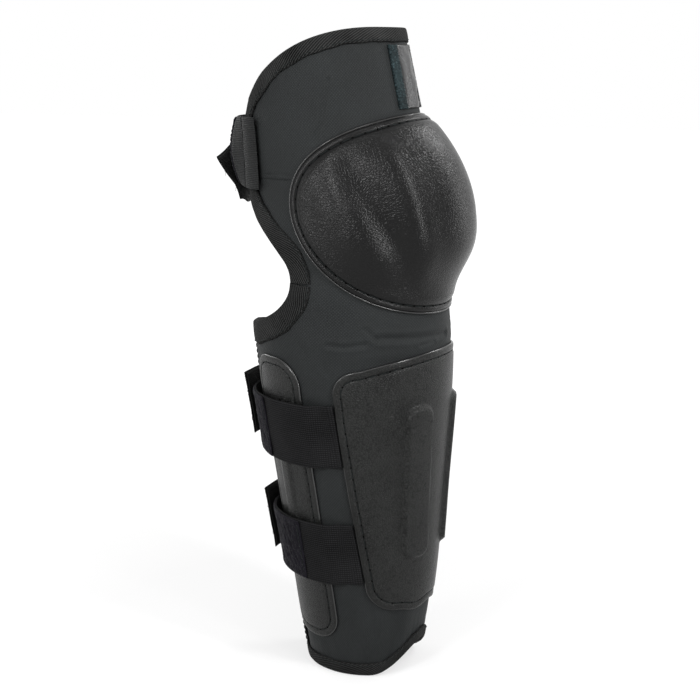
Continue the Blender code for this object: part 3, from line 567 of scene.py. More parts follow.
class SlantedTwill(Finish):
    """Folded tape with a steep twill weave; its flat v runs across the tape."""

    def pattern(self, sheet: NodeSheet) -> Pattern:
        """Slanted ribs with loose threads."""
        ribs = sheet.waves(sheet.turned(65), self.size)
        threads = sheet.noise(sheet.flat, 0.0007)
        height = sheet.sum("ADD", ribs, sheet.sum("MULTIPLY", threads, 0.6))
        return sheet.ranged(height, 0.75, 1.45), height


class RibbedElastic(Finish):
    """Elastic webbing woven into a grid of small beads."""

    def pattern(self, sheet: NodeSheet) -> Pattern:
        """Cords along the strap, broken by the weft into short beads."""
        cords = sheet.waves(sheet.turned(90), self.size)
        beads = sheet.waves(sheet.turned(0), self.size)
        height = sheet.sum("MULTIPLY", cords, sheet.ranged(beads, 0.0, 0.7, (0.25, 1.0)))
        return sheet.ranged(height, 0.15, 0.85), height


class CordedElastic(Finish):
    """Elastic webbing with plain cords along its length."""

    def pattern(self, sheet: NodeSheet) -> Pattern:
        """Cords along the strap with a faint weft."""
        cords = sheet.waves(sheet.turned(90), self.size)
        weft = sheet.waves(sheet.turned(0), self.size * 0.8)
        height = sheet.sum("ADD", cords, sheet.sum("MULTIPLY", weft, 0.25))
        return sheet.ranged(height, 0.2, 1.1), height


class LoopPile(Finish):
    """Brushed loop pile."""

    def pattern(self, sheet: NodeSheet) -> Pattern:
        """Tangled fibres over soft clumps."""
        fibres = sheet.noise(sheet.flat, self.size, 5.0)
        clumps = sheet.noise(sheet.flat, self.size * 6, 2.0)
        height = sheet.sum("ADD", fibres, clumps)
        return sheet.ranged(height, 0.6, 1.4), height


class KnottedThreads(Finish):
    """Raised zigzag stitching with loose knots."""

    def pattern(self, sheet: NodeSheet) -> Pattern:
        """Bright knots with dark gaps between them."""
        knots = sheet.ranged(sheet.cells(sheet.flat, self.size), 0.15, 0.60, (1.0, 0.0))
        strands = sheet.noise(sheet.turned(35, (1.0, 0.3)), self.size * 0.6, 3.0)
        height = sheet.sum("MULTIPLY", knots, sheet.ranged(strands, 0.35, 0.6))
        return height, height


class HookRows(Finish):
    """Rows of small stiff hooks."""

    def pattern(self, sheet: NodeSheet) -> Pattern:
        """Dots in rows."""
        rows = sheet.sum("MULTIPLY", sheet.waves(sheet.turned(0), self.size), sheet.waves(sheet.turned(90), self.size))
        return rows, rows


class MouldedGrain(Finish):
    """Moulded shell with leather grain, smooth and slightly worn along its rim."""

    def pattern(self, sheet: NodeSheet) -> Pattern:
        """Pebbles with fine pores, faded out where the grain attribute is 0."""
        wobble = sheet.put("TexNoise", {"Vector": sheet.flat, "Scale": 0.6 / self.size, "Detail": 2.0})
        moved = sheet.put("VectorMath", {0: wobble.outputs["Color"], 1: (self.size * 0.8,) * 3}, operation="MULTIPLY")
        bent = sheet.put("VectorMath", {0: sheet.flat, 1: moved.outputs[0]}, operation="ADD").outputs[0]
        pebbles = sheet.ranged(sheet.cells(bent, self.size, "DISTANCE_TO_EDGE"), 0.02, 0.22)
        pores = sheet.noise(sheet.flat, self.size * 0.4, 3.0)
        share = sheet.put("Attribute", attribute_name="grain").outputs["Fac"]
        grain = sheet.sum("ADD", sheet.sum("MULTIPLY", pebbles, 0.8), sheet.sum("MULTIPLY", pores, 0.5))
        height = sheet.sum("MULTIPLY", grain, share)
        bare = sheet.sum("SUBTRACT", 1.0, share)
        tone = sheet.ranged(height, 0.35, 1.15)
        return sheet.sum("ADD", tone, sheet.sum("MULTIPLY", bare, 0.55)), height


class TwistedThread(Finish):
    """Sewing thread."""

    def pattern(self, sheet: NodeSheet) -> Pattern:
        """Plies wound on the slant."""
        plies = sheet.waves(sheet.turned(40), self.size)
        return plies, plies


class SatinWeave(Finish):
    """Shiny satin with fine upright floats."""

    def pattern(self, sheet: NodeSheet) -> Pattern:
        """Long floats with broken ends."""
        floats = sheet.noise(sheet.turned(0, (1.0, 0.12)), self.size, 3.0)
        rows = sheet.waves(sheet.turned(0), self.size)
        height = sheet.sum("ADD", sheet.sum("MULTIPLY", rows, 0.5), floats)
        return sheet.ranged(height, 0.3, 1.2), height


NYLON = WovenNylon("woven_nylon", (0.005, 0.0057, 0.0059), (0.025, 0.0275, 0.028), (0.62, 0.76), 0.15, 0.00015, 0.0017, 0.04)
LINING = KnitMesh("knit_lining", (0.004, 0.004, 0.005), (0.016, 0.016, 0.018), (0.85, 0.95), 0.10, 0.0004, 0.0028)
TWILL = SlantedTwill("twill_tape", (0.0008, 0.0008, 0.0008), (0.060, 0.061, 0.060), (0.75, 0.9), 0.05, 0.00030, 0.0015)
ELASTIC = RibbedElastic("beaded_elastic", (0.0012, 0.0012, 0.0014), (0.024, 0.024, 0.025), (0.7, 0.85), 0.06, 0.00025, 0.0017)
CORDED = CordedElastic("corded_elastic", (0.002, 0.002, 0.0022), (0.026, 0.027, 0.027), (0.65, 0.8), 0.12, 0.00030, 0.0014)
PILE = LoopPile("loop_pile_brushed", (0.003, 0.003, 0.0045), (0.017, 0.0155, 0.021), (0.9, 1.0), 0.05, 0.0007, 0.0009, 0.08)
HOOKS = HookRows("hook_rows", (0.003, 0.003, 0.003), (0.018, 0.018, 0.018), (0.55, 0.7), 0.20, 0.0004, 0.0015)
CAP_LEATHER = MouldedGrain("cap_grain", (0.0008, 0.0008, 0.0008), (0.003, 0.003, 0.003), (0.25, 0.33), 0.19, 0.00013, 0.0018)
PLATE_GRAIN = MouldedGrain("plate_grain", (0.001, 0.001, 0.001), (0.022, 0.023, 0.022), (0.30, 0.38), 0.16, 0.00024, 0.0018)
BEAD = MouldedGrain("bead_gloss", (0.002, 0.002, 0.002), (0.014, 0.014, 0.014), (0.18, 0.26), 0.55, 0.00005, 0.0018)
THREAD = TwistedThread("sewing_thread", (0.002, 0.003, 0.003), (0.012, 0.016, 0.016), (0.5, 0.65), 0.15, 0.00008, 0.0009)
# Near-black finish of the cups at the needle holes: painted shade in the holes
HOLE_SHADE = TwistedThread("needle_hole_shade", (0.0006, 0.0006, 0.0006), (0.0016, 0.0016, 0.0016), (0.9, 1.0), 0.02, 0.00004, 0.0006)
SATIN = SatinWeave("bare_satin", (0.004, 0.004, 0.0045), (0.020, 0.021, 0.022), (0.22, 0.32), 0.35, 0.00005, 0.0009)
FRINGE = KnottedThreads("zigzag_border", (0.0008, 0.0014, 0.0016), (0.050, 0.078, 0.085), (0.6, 0.8), 0.10, 0.00080, 0.0024)


@dataclass
class SleeveOutline:
    """Edges and seams of the padded sleeve, as in the frame."""

    top: float = 0.520
    top_flat: float = 20.0
    top_drop: float = 0.068
    top_power: float = 2.5
    thigh_edge: float = 140.0
    notch: float = 100.0
    notch_upper: float = 0.395
    notch_middle: float = 0.331
    wing_back: float = 0.287
    wing_edge: float = 165.0
    notch_power: float = 1.6
    wing_corner: float = 110.0
    thigh_seam: float = 0.406
    knee_front: float = 0.300
    knee_side: float = 0.328
    knee_flat: float = 30.0
    knee_rise: float = 80.0
    shin_seam: float = 0.254
    hem_rise: float = 0.024
    hem_flat: float = 60.0
    fold_heights: tuple[float, float] = (0.084, 0.246)
    fold_angles: tuple[float, float] = (67.6, 81.7)

    def top_edge(self, angle: Array) -> Places:
        """Upper edge of the thigh."""
        t = (np.abs(angle) - self.top_flat) / (self.thigh_edge - self.top_flat)
        return angle, self.top - self.top_drop * np.maximum(0.0, t) ** self.top_power

    def upper_notch(self, height: Array) -> Places:
        """Edge of the notch above its deepest point."""
        t = (height - self.notch_middle) / (self.notch_upper - self.notch_middle)
        return lerp(self.notch, self.thigh_edge, ease(t)), height

    def wing_top(self, angle: Array) -> Places:
        """Edge of the notch below its deepest point, by angle."""
        t = (angle - self.notch) / (self.wing_edge - self.notch)
        fall = np.maximum(0.0, 1 - np.sqrt(np.maximum(0.0, t))) ** self.notch_power
        return angle, lerp(self.wing_back, self.notch_middle, fall)

    def lower_notch(self, height: Array) -> Places:
        """Edge of the notch below its deepest point, by height."""
        fall = np.clip((height - self.wing_back) / (self.notch_middle - self.wing_back), 0.0, 1.0)
        return lerp(self.notch, self.wing_edge, (1 - fall ** (1 / self.notch_power)) ** 2), height

    def wing_rear(self, height: Array) -> Places:
        """Back edge of a calf wing."""
        return np.full_like(height, self.wing_edge), height

    def hem(self, angle: Array) -> Places:
        """Hem, which rises over the instep."""
        t = np.maximum(0.0, 1 - np.abs(angle) / self.hem_flat)
        return angle, self.hem_rise * (1 - np.cos(np.pi * t)) / 2

    def fold(self, height: Array) -> Places:
        """Fold line between shin and calf wing."""
        t = (height - self.fold_heights[0]) / (self.fold_heights[1] - self.fold_heights[0])
        return lerp(self.fold_angles[0], self.fold_angles[1], t), height

    def knee_seam(self, angle: Array) -> Places:
        """Seam under the knee pad."""
        t = (np.abs(angle) - self.knee_flat) / (self.knee_rise - self.knee_flat)
        return angle, lerp(self.knee_front, self.knee_side, ease(t))

    def inset(self, edge: Edge, value: Array, step: float) -> Places:
        """Places on an edge, moved in to leave room for the tape's fold."""
        return FORM.moved(edge(value), FORM.inward(edge(value - step), edge(value + step)), EDGE_INSET)


SLEEVE = SleeveOutline()


@dataclass
class Patch:
    """Four-sided panel of places between its edges, each taking shares from 0 to 1."""

    bottom: Edge
    top: Edge
    left: Edge
    right: Edge
    kinks: tuple[float, ...] = ()

    def places(self, u: Array, v: Array) -> Places:
        """Places on the panel.

        Args:
            u: shares from its left to its right.
            v: shares from its bottom to its top.

        Returns:
            Grids of angles and heights.
        """
        ends = np.array([0.0, 1.0])
        low, high = self.bottom(u), self.top(u)
        start, end = self.left(v), self.right(v)
        low_ends, high_ends = self.bottom(ends), self.top(ends)
        a, b = u[:, None], v[None, :]
        grids = []
        for k in range(2):
            across = lerp(low[k][:, None], high[k][:, None], b) + lerp(start[k][None, :], end[k][None, :], a)
            twice = lerp(lerp(low_ends[k][0], low_ends[k][1], a), lerp(high_ends[k][0], high_ends[k][1], a), b)
            grids.append(across - twice)
        return grids[0], grids[1]


def even_patch(bottom: Edge, top: Edge, left: Edge, kinks: tuple[float, ...] = ()) -> Patch:
    """Panel that is the same on both sides of the leg's front.

    Args:
        bottom: lower edge.
        top: upper edge.
        left: left edge, mirrored for the right one.
        kinks: shares across at which an edge turns.

    Returns:
        The panel.
    """

    def right(v: Array) -> Places:
        """Right edge."""
        angle, height = left(v)
        return -angle, height

    return Patch(bottom, top, left, right, kinks)


def thigh_patch() -> Patch:
    """Panel over the thigh."""
    edge = SLEEVE.thigh_edge - float(FORM.degrees(EDGE_INSET, SLEEVE.thigh_edge, SLEEVE.thigh_seam))
    seam = SLEEVE.thigh_seam + SEAM_GAP / 2

    def bottom(u: Array) -> Places:
        """Seam over the knee."""
        return lerp(edge, -edge, u), np.full_like(u, seam)

    def top(u: Array) -> Places:
        """Upper edge."""
        angle, height = SLEEVE.inset(SLEEVE.top_edge, lerp(edge, -edge, u), -ANGLE_STEP)
        return np.clip(angle, -edge, edge), height

    def left(v: Array) -> Places:
        """Back edge."""
        return np.full_like(v, edge), lerp(seam, top(np.zeros(1))[1][0], v)

    return even_patch(bottom, top, left)


def knee_patch() -> Patch:
    """Panel behind the knee cap."""
    low, high = SLEEVE.knee_side + SEAM_GAP / 2, SLEEVE.thigh_seam - SEAM_GAP / 2

    def left(v: Array) -> Places:
        """Edge on the notch."""
        return SLEEVE.inset(SLEEVE.upper_notch, lerp(low, high, v), HEIGHT_STEP)

    def bottom(u: Array) -> Places:
        """Seam over the flex panel."""
        edge = left(np.zeros(1))[0][0]
        angle, height = SLEEVE.knee_seam(lerp(edge, -edge, u))
        return angle, height + SEAM_GAP / 2

    def top(u: Array) -> Places:
        """Seam under the thigh."""
        edge = left(np.ones(1))[0][0]
        return lerp(edge, -edge, u), np.full_like(u, high)

    return even_patch(bottom, top, left)


def flex_patch() -> Patch:
    """Panel between knee and shin, whose lower edge turns at the fold lines."""
    share = 4 / 22
    corner = float(SLEEVE.wing_top(np.array(SLEEVE.wing_corner))[1])
    low, high = corner + SEAM_GAP / 2, SLEEVE.knee_side + SEAM_TUCK
    seam = SLEEVE.shin_seam + SEAM_GAP / 2
    seam_edge = float(SLEEVE.fold(np.array(SLEEVE.shin_seam))[0])

    def left(v: Array) -> Places:
        """Edge on the notch."""
        return SLEEVE.inset(SLEEVE.lower_notch, lerp(low, high, v), HEIGHT_STEP)

    def bottom(u: Array) -> Places:
        """Seam over wings and shin."""
        angle, height = left(np.zeros(1))
        knots = [0, share, 1 - share, 1]
        edges = np.interp(u, knots, [angle[0], seam_edge, -seam_edge, -angle[0]])
        return edges, np.interp(u, knots, [height[0], seam, seam, height[0]])

    def top(u: Array) -> Places:
        """Seam under the knee."""
        edge = left(np.ones(1))[0][0]
        angle, height = SLEEVE.knee_seam(lerp(edge, -edge, u))
        return angle, height + SEAM_TUCK

    return even_patch(bottom, top, left, (share, 1 - share))


def shin_patch() -> Patch:
    """Panel behind the shin plate."""
    seam = SLEEVE.shin_seam - SEAM_GAP / 2

    def left(v: Array) -> Places:
        """Fold line."""
        angle, height = SLEEVE.fold(lerp(EDGE_INSET, seam, v))
        return angle - FORM.degrees(SEAM_GAP / 2, angle, height), height

    def bottom(u: Array) -> Places:
        """Edge in the hem."""
        edge = left(np.zeros(1))[0][0]
        angle, height = SLEEVE.hem(lerp(edge, -edge, u))
        return angle, height + EDGE_INSET

    def top(u: Array) -> Places:
        """Seam under the flex panel."""
        edge = left(np.ones(1))[0][0]
        return lerp(edge, -edge, u), np.full_like(u, seam)

    return even_patch(bottom, top, left)


def wing_patch() -> Patch:
    """Left calf wing, whose upper edge peaks at the notch's corner."""
    share = 5 / 9
    seam = SLEEVE.shin_seam - SEAM_GAP / 2
    rear = SLEEVE.wing_edge - float(FORM.degrees(EDGE_INSET, SLEEVE.wing_edge, 0.150))
    corner_height = SLEEVE.wing_top(np.array(SLEEVE.wing_corner))[1]
    corner = SLEEVE.wing_corner + float(FORM.degrees(SEAM_GAP, SLEEVE.wing_corner, corner_height))

    def right(v: Array) -> Places:
        """Fold line."""
        angle, height = SLEEVE.fold(lerp(EDGE_INSET, seam, v))
        return angle + FORM.degrees(SEAM_GAP / 2, angle, height), height

    def bottom(u: Array) -> Places:
        """Edge in the hem."""
        return lerp(rear, right(np.zeros(1))[0][0], u), np.full_like(u, EDGE_INSET)

    def top(u: Array) -> Places:
        """Edge on the notch, then the seam under the flex panel."""
        angle, height = SLEEVE.inset(SLEEVE.wing_top, lerp(rear, corner, np.minimum(u / share, 1)), -ANGLE_STEP)
        t = np.clip((u - share) / (1 - share), 0, 1)
        end = right(np.ones(1))[0][0]
        return lerp(angle, end, t), lerp(height, seam, t)

    def left(v: Array) -> Places:
        """Back edge."""
        angle, height = top(np.zeros(1))
        return lerp(rear, angle[0], v), lerp(EDGE_INSET, height[0], v)

    return Patch(bottom, top, left, right, (share,))


@dataclass
class Crease:
    """Crease in the cover: places that it runs through, its depth and its width."""

    path: tuple[tuple[float, float], ...]
    depth: float = 0.0012
    width: float = 0.0022

    def level(self, angle: Array, height: Array) -> Array:
        """Level of the cover along the crease.

        Args:
            angle: angles of the cover.
            height: heights of the cover.

        Returns:
            A groove with a soft roll on both sides, faded at the ends.
        """
        reach = FORM.radius(angle, height)
        nearest = np.full(angle.shape, 1.0)
        for (a0, h0), (a1, h1) in zip(self.path, self.path[1:]):
            x, z = np.radians(angle - a0) * reach, height - h0
            dx, dz = np.radians(a1 - a0) * reach, h1 - h0
            t = np.clip((x * dx + z * dz) / (dx * dx + dz * dz), 0, 1)
            nearest = np.minimum(nearest, np.hypot(x - t * dx, z - t * dz))
        return self.depth * (0.5 * bell(nearest - 2 * self.width, self.width) - bell(nearest, self.width))


def ripples(flats: Array, seed: int, size: float, count: int = 14) -> Array:
    """Smooth random unevenness of about unit height.

    Args:
        flats: flat coordinates.
        seed: seed of the draw.
        size: usual width of a ripple.
        count: how many waves are laid over each other.

    Returns:
        Heights about 0.
    """
    draw = np.random.default_rng(seed)
    total = np.zeros(flats.shape[:-1])
    for turn, stretch, phase in zip(draw.uniform(0, np.pi, count), draw.uniform(0.6, 1.8, count), draw.uniform(0, 6.28, count)):
        along = flats[..., 0] * np.cos(turn) + flats[..., 1] * np.sin(turn)
        total += np.sin(2 * np.pi * along / (size * stretch) + phase)
    return total / np.sqrt(count / 2)


@dataclass
class ClothSwell:
    """Cloth simulation that blows a pad's cover up between its sewn edges."""

    pressure: float = 4.0
    limit: float = 0.0010
    last_frame: int = 20

    def levels(self, points: Array, normals: Array, held: Array) -> Array:
        """Level that the cover gains.

        Args:
            points: grid of points of the flat cover.
            normals: normals there.
            held: whether each point is sewn or pressed down.

        Returns:
            Levels, never above the limit.
        """
        sheet = Surface()
        sheet.quads(sheet.add(points, points[..., :2]))
        mesh = bpy.data.meshes.new("swelling")
        mesh.from_pydata(np.concatenate(sheet.points).tolist(), [], sheet.faces)
        cover = bpy.data.objects.new("swelling", mesh)
        scene = bpy.context.scene
        scene.collection.objects.link(cover)
        group = cover.vertex_groups.new(name="held")
        group.add(np.flatnonzero(held.ravel()).tolist(), 1.0, "REPLACE")
        cloth = cover.modifiers.new("cloth", "CLOTH")
        cloth.settings.quality = 6
        cloth.settings.mass = 0.15
        cloth.settings.vertex_group_mass = "held"
        cloth.settings.use_pressure = True
        cloth.settings.uniform_pressure_force = self.pressure
        cloth.settings.effector_weights.gravity = 0.0
        cloth.collision_settings.use_collision = False
        cloth.point_cache.frame_start, cloth.point_cache.frame_end = 1, self.last_frame
        for number in range(1, self.last_frame + 1):
            scene.frame_set(number)
        shown = cover.evaluated_get(bpy.context.evaluated_depsgraph_get()).data
        places = np.empty(len(shown.vertices) * 3)
        shown.vertices.foreach_get("co", places)
        gained = np.abs(((places.reshape(points.shape) - points) * normals).sum(axis=-1))
        bpy.data.objects.remove(cover)
        bpy.data.meshes.remove(mesh)
        scene.frame_set(1)
        return self.limit * np.tanh(gained / self.limit)


@dataclass
class PadPanel:
    """Padded panel: woven cover, foam and knitted lining as one soft closed form."""

    name: str
    nodes: tuple[str, ...]
    body: Body
    patch: Patch
    cells: tuple[int, int]
    borders: tuple[Border, Border, Border, Border]
    pressed: tuple[Zone, ...] = ()
    creases: tuple[Crease, ...] = ()
    side: Side = Side.LEFT
    seed: int = 1
    swell: ClothSwell = field(default_factory=ClothSwell)
    seam_drop: float = 0.0009
    seam_roll: float = 0.0012
    lip: float = 0.0005
    lip_width: float = 0.0024
    pucker: float = 0.0003
    pucker_pitch: float = 0.0085
    unevenness: float = 0.00028
    unevenness_size: float = 0.045
    coarser: int = 3

    def gaps(self, points: Array) -> tuple[Array, Array, Array, Array]:
        """Distances from the left, right, bottom and top borders."""
        across, up = run_length(points), np.swapaxes(run_length(np.swapaxes(points, 0, 1)), 0, 1)
        return across, across[-1:] - across, up, up[:, -1:] - up

    def hold(self, angle: Array, height: Array) -> Array:
        """Share by which plates and straps press the pad down."""
        total = np.zeros(angle.shape)
        for zone in self.pressed:
            total = np.maximum(total, ease(zone(angle, height) / 0.008 + 0.75))
        return total

    def relief(self, angle: Array, height: Array, gaps: Sequence[Array]) -> Array:
        """Level of the cover before it swells.

        Args:
            angle: angles of the grid.
            height: heights of the grid.
            gaps: distances from the four borders.

        Returns:
            Levels of the cover.
        """
        flats = FORM.flat(angle, height)
        level = self.unevenness * ripples(flats, self.seed, self.unevenness_size)
        for crease in self.creases:
            level = level + crease.level(angle, height)
        for k, (border, gap) in enumerate(zip(self.borders, gaps)):
            if border is not Border.BOUND:
                level = level * ease(gap / 0.006)
            if border in (Border.SEAM, Border.LAPPED):
                level = level - self.seam_drop * np.exp(-gap / self.seam_roll)
            if border is Border.LAPPED:
                level = level + self.lip * bell(gap - 0.6 * self.lip_width, 0.4 * self.lip_width)
                level = level - 1.2 * self.lip * bell(gap - 1.5 * self.lip_width, 0.25 * self.lip_width)
            if border is Border.BOUND:
                along = flats[..., 1 if k < 2 else 0]
                wave = np.sin(2 * np.pi * along / self.pucker_pitch + 2 * np.sin(along / 0.013))
                level = level * ease(gap / 0.014) + self.pucker * wave * ease(gap / 0.01) * np.exp(-gap / 0.012)
                level = level - 0.0004 * np.exp(-gap / 0.008)
        pressed = self.hold(angle, height)
        return level * (1 - pressed) - 0.0003 * pressed

    def gained(self, u: Array, v: Array) -> Array:
        """Level gained by the cloth simulation, carried to a finer grid.

        Args:
            u: shares across the fine grid.
            v: shares up the fine grid.

        Returns:
            Levels on the fine grid.
        """
        a, b = (np.linspace(0, 1, cells // self.coarser + 1) for cells in self.cells)
        angle, height = self.patch.places(a, b)
        held = self.hold(angle, height) > 0.5
        held[[0, -1], :] = True
        held[:, [0, -1]] = True
        coarse = self.swell.levels(FORM.points(angle, height), FORM.normals(angle, height), held)
        coarse[held] = 0.0
        across = np.stack([np.interp(u, a, coarse[:, j]) for j in range(len(b))], axis=1)
        return np.stack([np.interp(v, b, row) for row in across])

    def build(self) -> bpy.types.Object:
        """Returns:
            The pad.
        """
        u, v = spread(self.cells[0], self.patch.kinks), spread(self.cells[1])
        angle, height = self.patch.places(u, v)
        gaps = self.gaps(FORM.points(angle, height))
        level = self.relief(angle, height, gaps)
        level = level + self.gained(u, v) * (1 - self.hold(angle, height))
        seams = [gap for border, gap in zip(self.borders, gaps) if border in (Border.SEAM, Border.LAPPED)]
        rolled = sum((np.exp(-gap / self.seam_roll) for gap in seams), np.zeros(angle.shape))
        inner = FORM.points(angle, height, PAD_BASE + 0.0012 * np.minimum(rolled, 1))
        surface = Surface()
        surface.shell(FORM.points(angle, height, level), inner, FORM.flat(angle, height), (0, 1))
        pad = surface.piece(self.name, (NYLON, LINING), self.side)
        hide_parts(*self.nodes)
        return pad


@dataclass
class ThreadRow:
    """Row of stitches along a line, each a short thread that dips into a needle hole."""

    pitch: float = 0.0097
    share: float = 0.90
    radius: float = 0.00032
    # Radius of the near-black cups painted as shade in the needle holes; 0 leaves them out
    hole: float = 0.0
    wander: float = 0.0
    seed: int = 17
    rings: int = 6
    sides: int = 6

    def lay(self, surface: Surface, line: Array, normals: Array, slot: int = 0) -> None:
        """Add the stitches.

        Args:
            surface: surface that takes them.
            line: points of the line.
            normals: outward normals along it.
            slot: number of the thread's finish.
        """
        along = run_length(line)
        count = max(1, int(along[-1] / self.pitch))
        step = along[-1] / count
        t = np.linspace(0, 1, self.rings)
        draw = np.random.default_rng(self.seed)
        joints = np.arange(count + 1) * step
        joints[1:-1] += self.wander * draw.uniform(-1, 1, count - 1)
        within = (1 - self.share) / 2 + self.share * t
        places = lerp(joints[:-1, None], joints[1:, None], within[None, :])
        centre = np.stack([np.interp(places, along, line[:, k]) for k in range(3)], axis=-1)
        out = unit(np.stack([np.interp(places, along, normals[:, k]) for k in range(3)], axis=-1))
        ahead = unit(np.gradient(centre, axis=1))
        beside = np.cross(ahead, out)
        arch = np.sin(np.pi * t) ** 0.6
        turn = np.linspace(0, 2 * np.pi, self.sides, endpoint=False)
        thick = self.radius * (0.6 + 0.4 * arch)[None, :, None, None]
        centre = centre + out * (self.radius * (1.5 * arch - 0.9))[None, :, None]
        round_ = np.cos(turn)[:, None] * beside[:, :, None, :] + np.sin(turn)[:, None] * out[:, :, None, :]
        rings = centre[:, :, None, :] + thick * round_
        flats = np.stack(np.broadcast_arrays(places[:, :, None], turn * self.radius), axis=-1)
        for ring, flat in zip(rings, flats):
            surface.tube(ring, flat, slot)
        # Near-black cups at the joints: painted shade of the needle holes
        if self.hole:
            self.paint_hole_shade(surface, line, normals, joints[:-1], slot + 1)

    def paint_hole_shade(self, surface: Surface, line: Array, normals: Array, joints: Array, slot: int) -> None:
        """Add a near-black cup at each joint between two stitches, as painted shade where the needle hole sinks in.

        Args:
            surface: surface that takes them.
            line: points of the line.
            normals: outward normals along it.
            joints: lengths along the line.
            slot: number of the finish of the painted hole shade.
        """
        along = run_length(line)
        middle = np.stack([np.interp(joints, along, line[:, k]) for k in range(3)], axis=-1)
        out = unit(np.stack([np.interp(joints, along, normals[:, k]) for k in range(3)], axis=-1))
        ahead = unit(np.roll(middle, -1, axis=0) - middle)
        beside = np.cross(ahead, out)
        turn = np.linspace(0, 2 * np.pi, 10, endpoint=False)
        for centre, up, along_, side in zip(middle, out, ahead, beside):
            round_ = np.cos(turn)[:, None] * side + np.sin(turn)[:, None] * along_
            rings = [centre + up * rise + round_ * self.hole * size
                     for size, rise in ((0.3, -0.0005), (0.9, -0.0001), (1.0, 0.0002), (0.7, 0.0004), (0.2, 0.0004))]
            surface.tube(np.stack(rings), np.zeros(2), slot)


Ring = tuple[float, float, float]


@dataclass(frozen=True)
class RimProfile:
    """Section of a moulded shell's rim: rings by distance from the edge, level and grain."""

    wall: tuple[Ring, ...]
    stitch: tuple[float, float]
    bead: int


CAP_RIM = RimProfile((
    (0.0006, 0.0000, 0.0), (0.0001, 0.0005, 0.0), (0.0000, 0.0010, 0.0), (0.0002, 0.0015, 0.0),
    (0.0006, 0.0018, 0.0), (0.0010, 0.0017, 0.0), (0.0013, 0.0013, 0.1), (0.0015, 0.0011, 0.2),
    (0.0018, 0.0013, 0.4), (0.0024, 0.0018, 0.6), (0.0034, 0.0020, 0.7), (0.0046, 0.0020, 0.7),
    (0.0053, 0.0017, 0.6), (0.0057, 0.0012, 0.5), (0.0060, 0.0010, 0.5), (0.0063, 0.0012, 0.5),
    (0.0068, 0.0018, 0.8), (0.0080, 0.0025, 1.0), (0.0095, 0.0030, 1.0), (0.0112, 0.0033, 1.0)),
    (0.0060, 0.0011), 6)
PLATE_RIM = RimProfile((
    (0.0006, 0.0000, 0.1), (0.0001, 0.0004, 0.1), (0.0000, 0.0009, 0.1), (0.0003, 0.0014, 0.1),
    (0.0008, 0.0018, 0.2), (0.0016, 0.0020, 0.5), (0.0030, 0.0020, 0.8), (0.0046, 0.0019, 0.9),
    (0.0055, 0.0017, 0.9), (0.0060, 0.0012, 0.8), (0.0063, 0.0010, 0.7), (0.0066, 0.0012, 0.8),
    (0.0071, 0.0017, 1.0), (0.0080, 0.0020, 1.0), (0.0092, 0.0022, 1.0), (0.0108, 0.0022, 1.0)),
    (0.0063, 0.0011), 4)


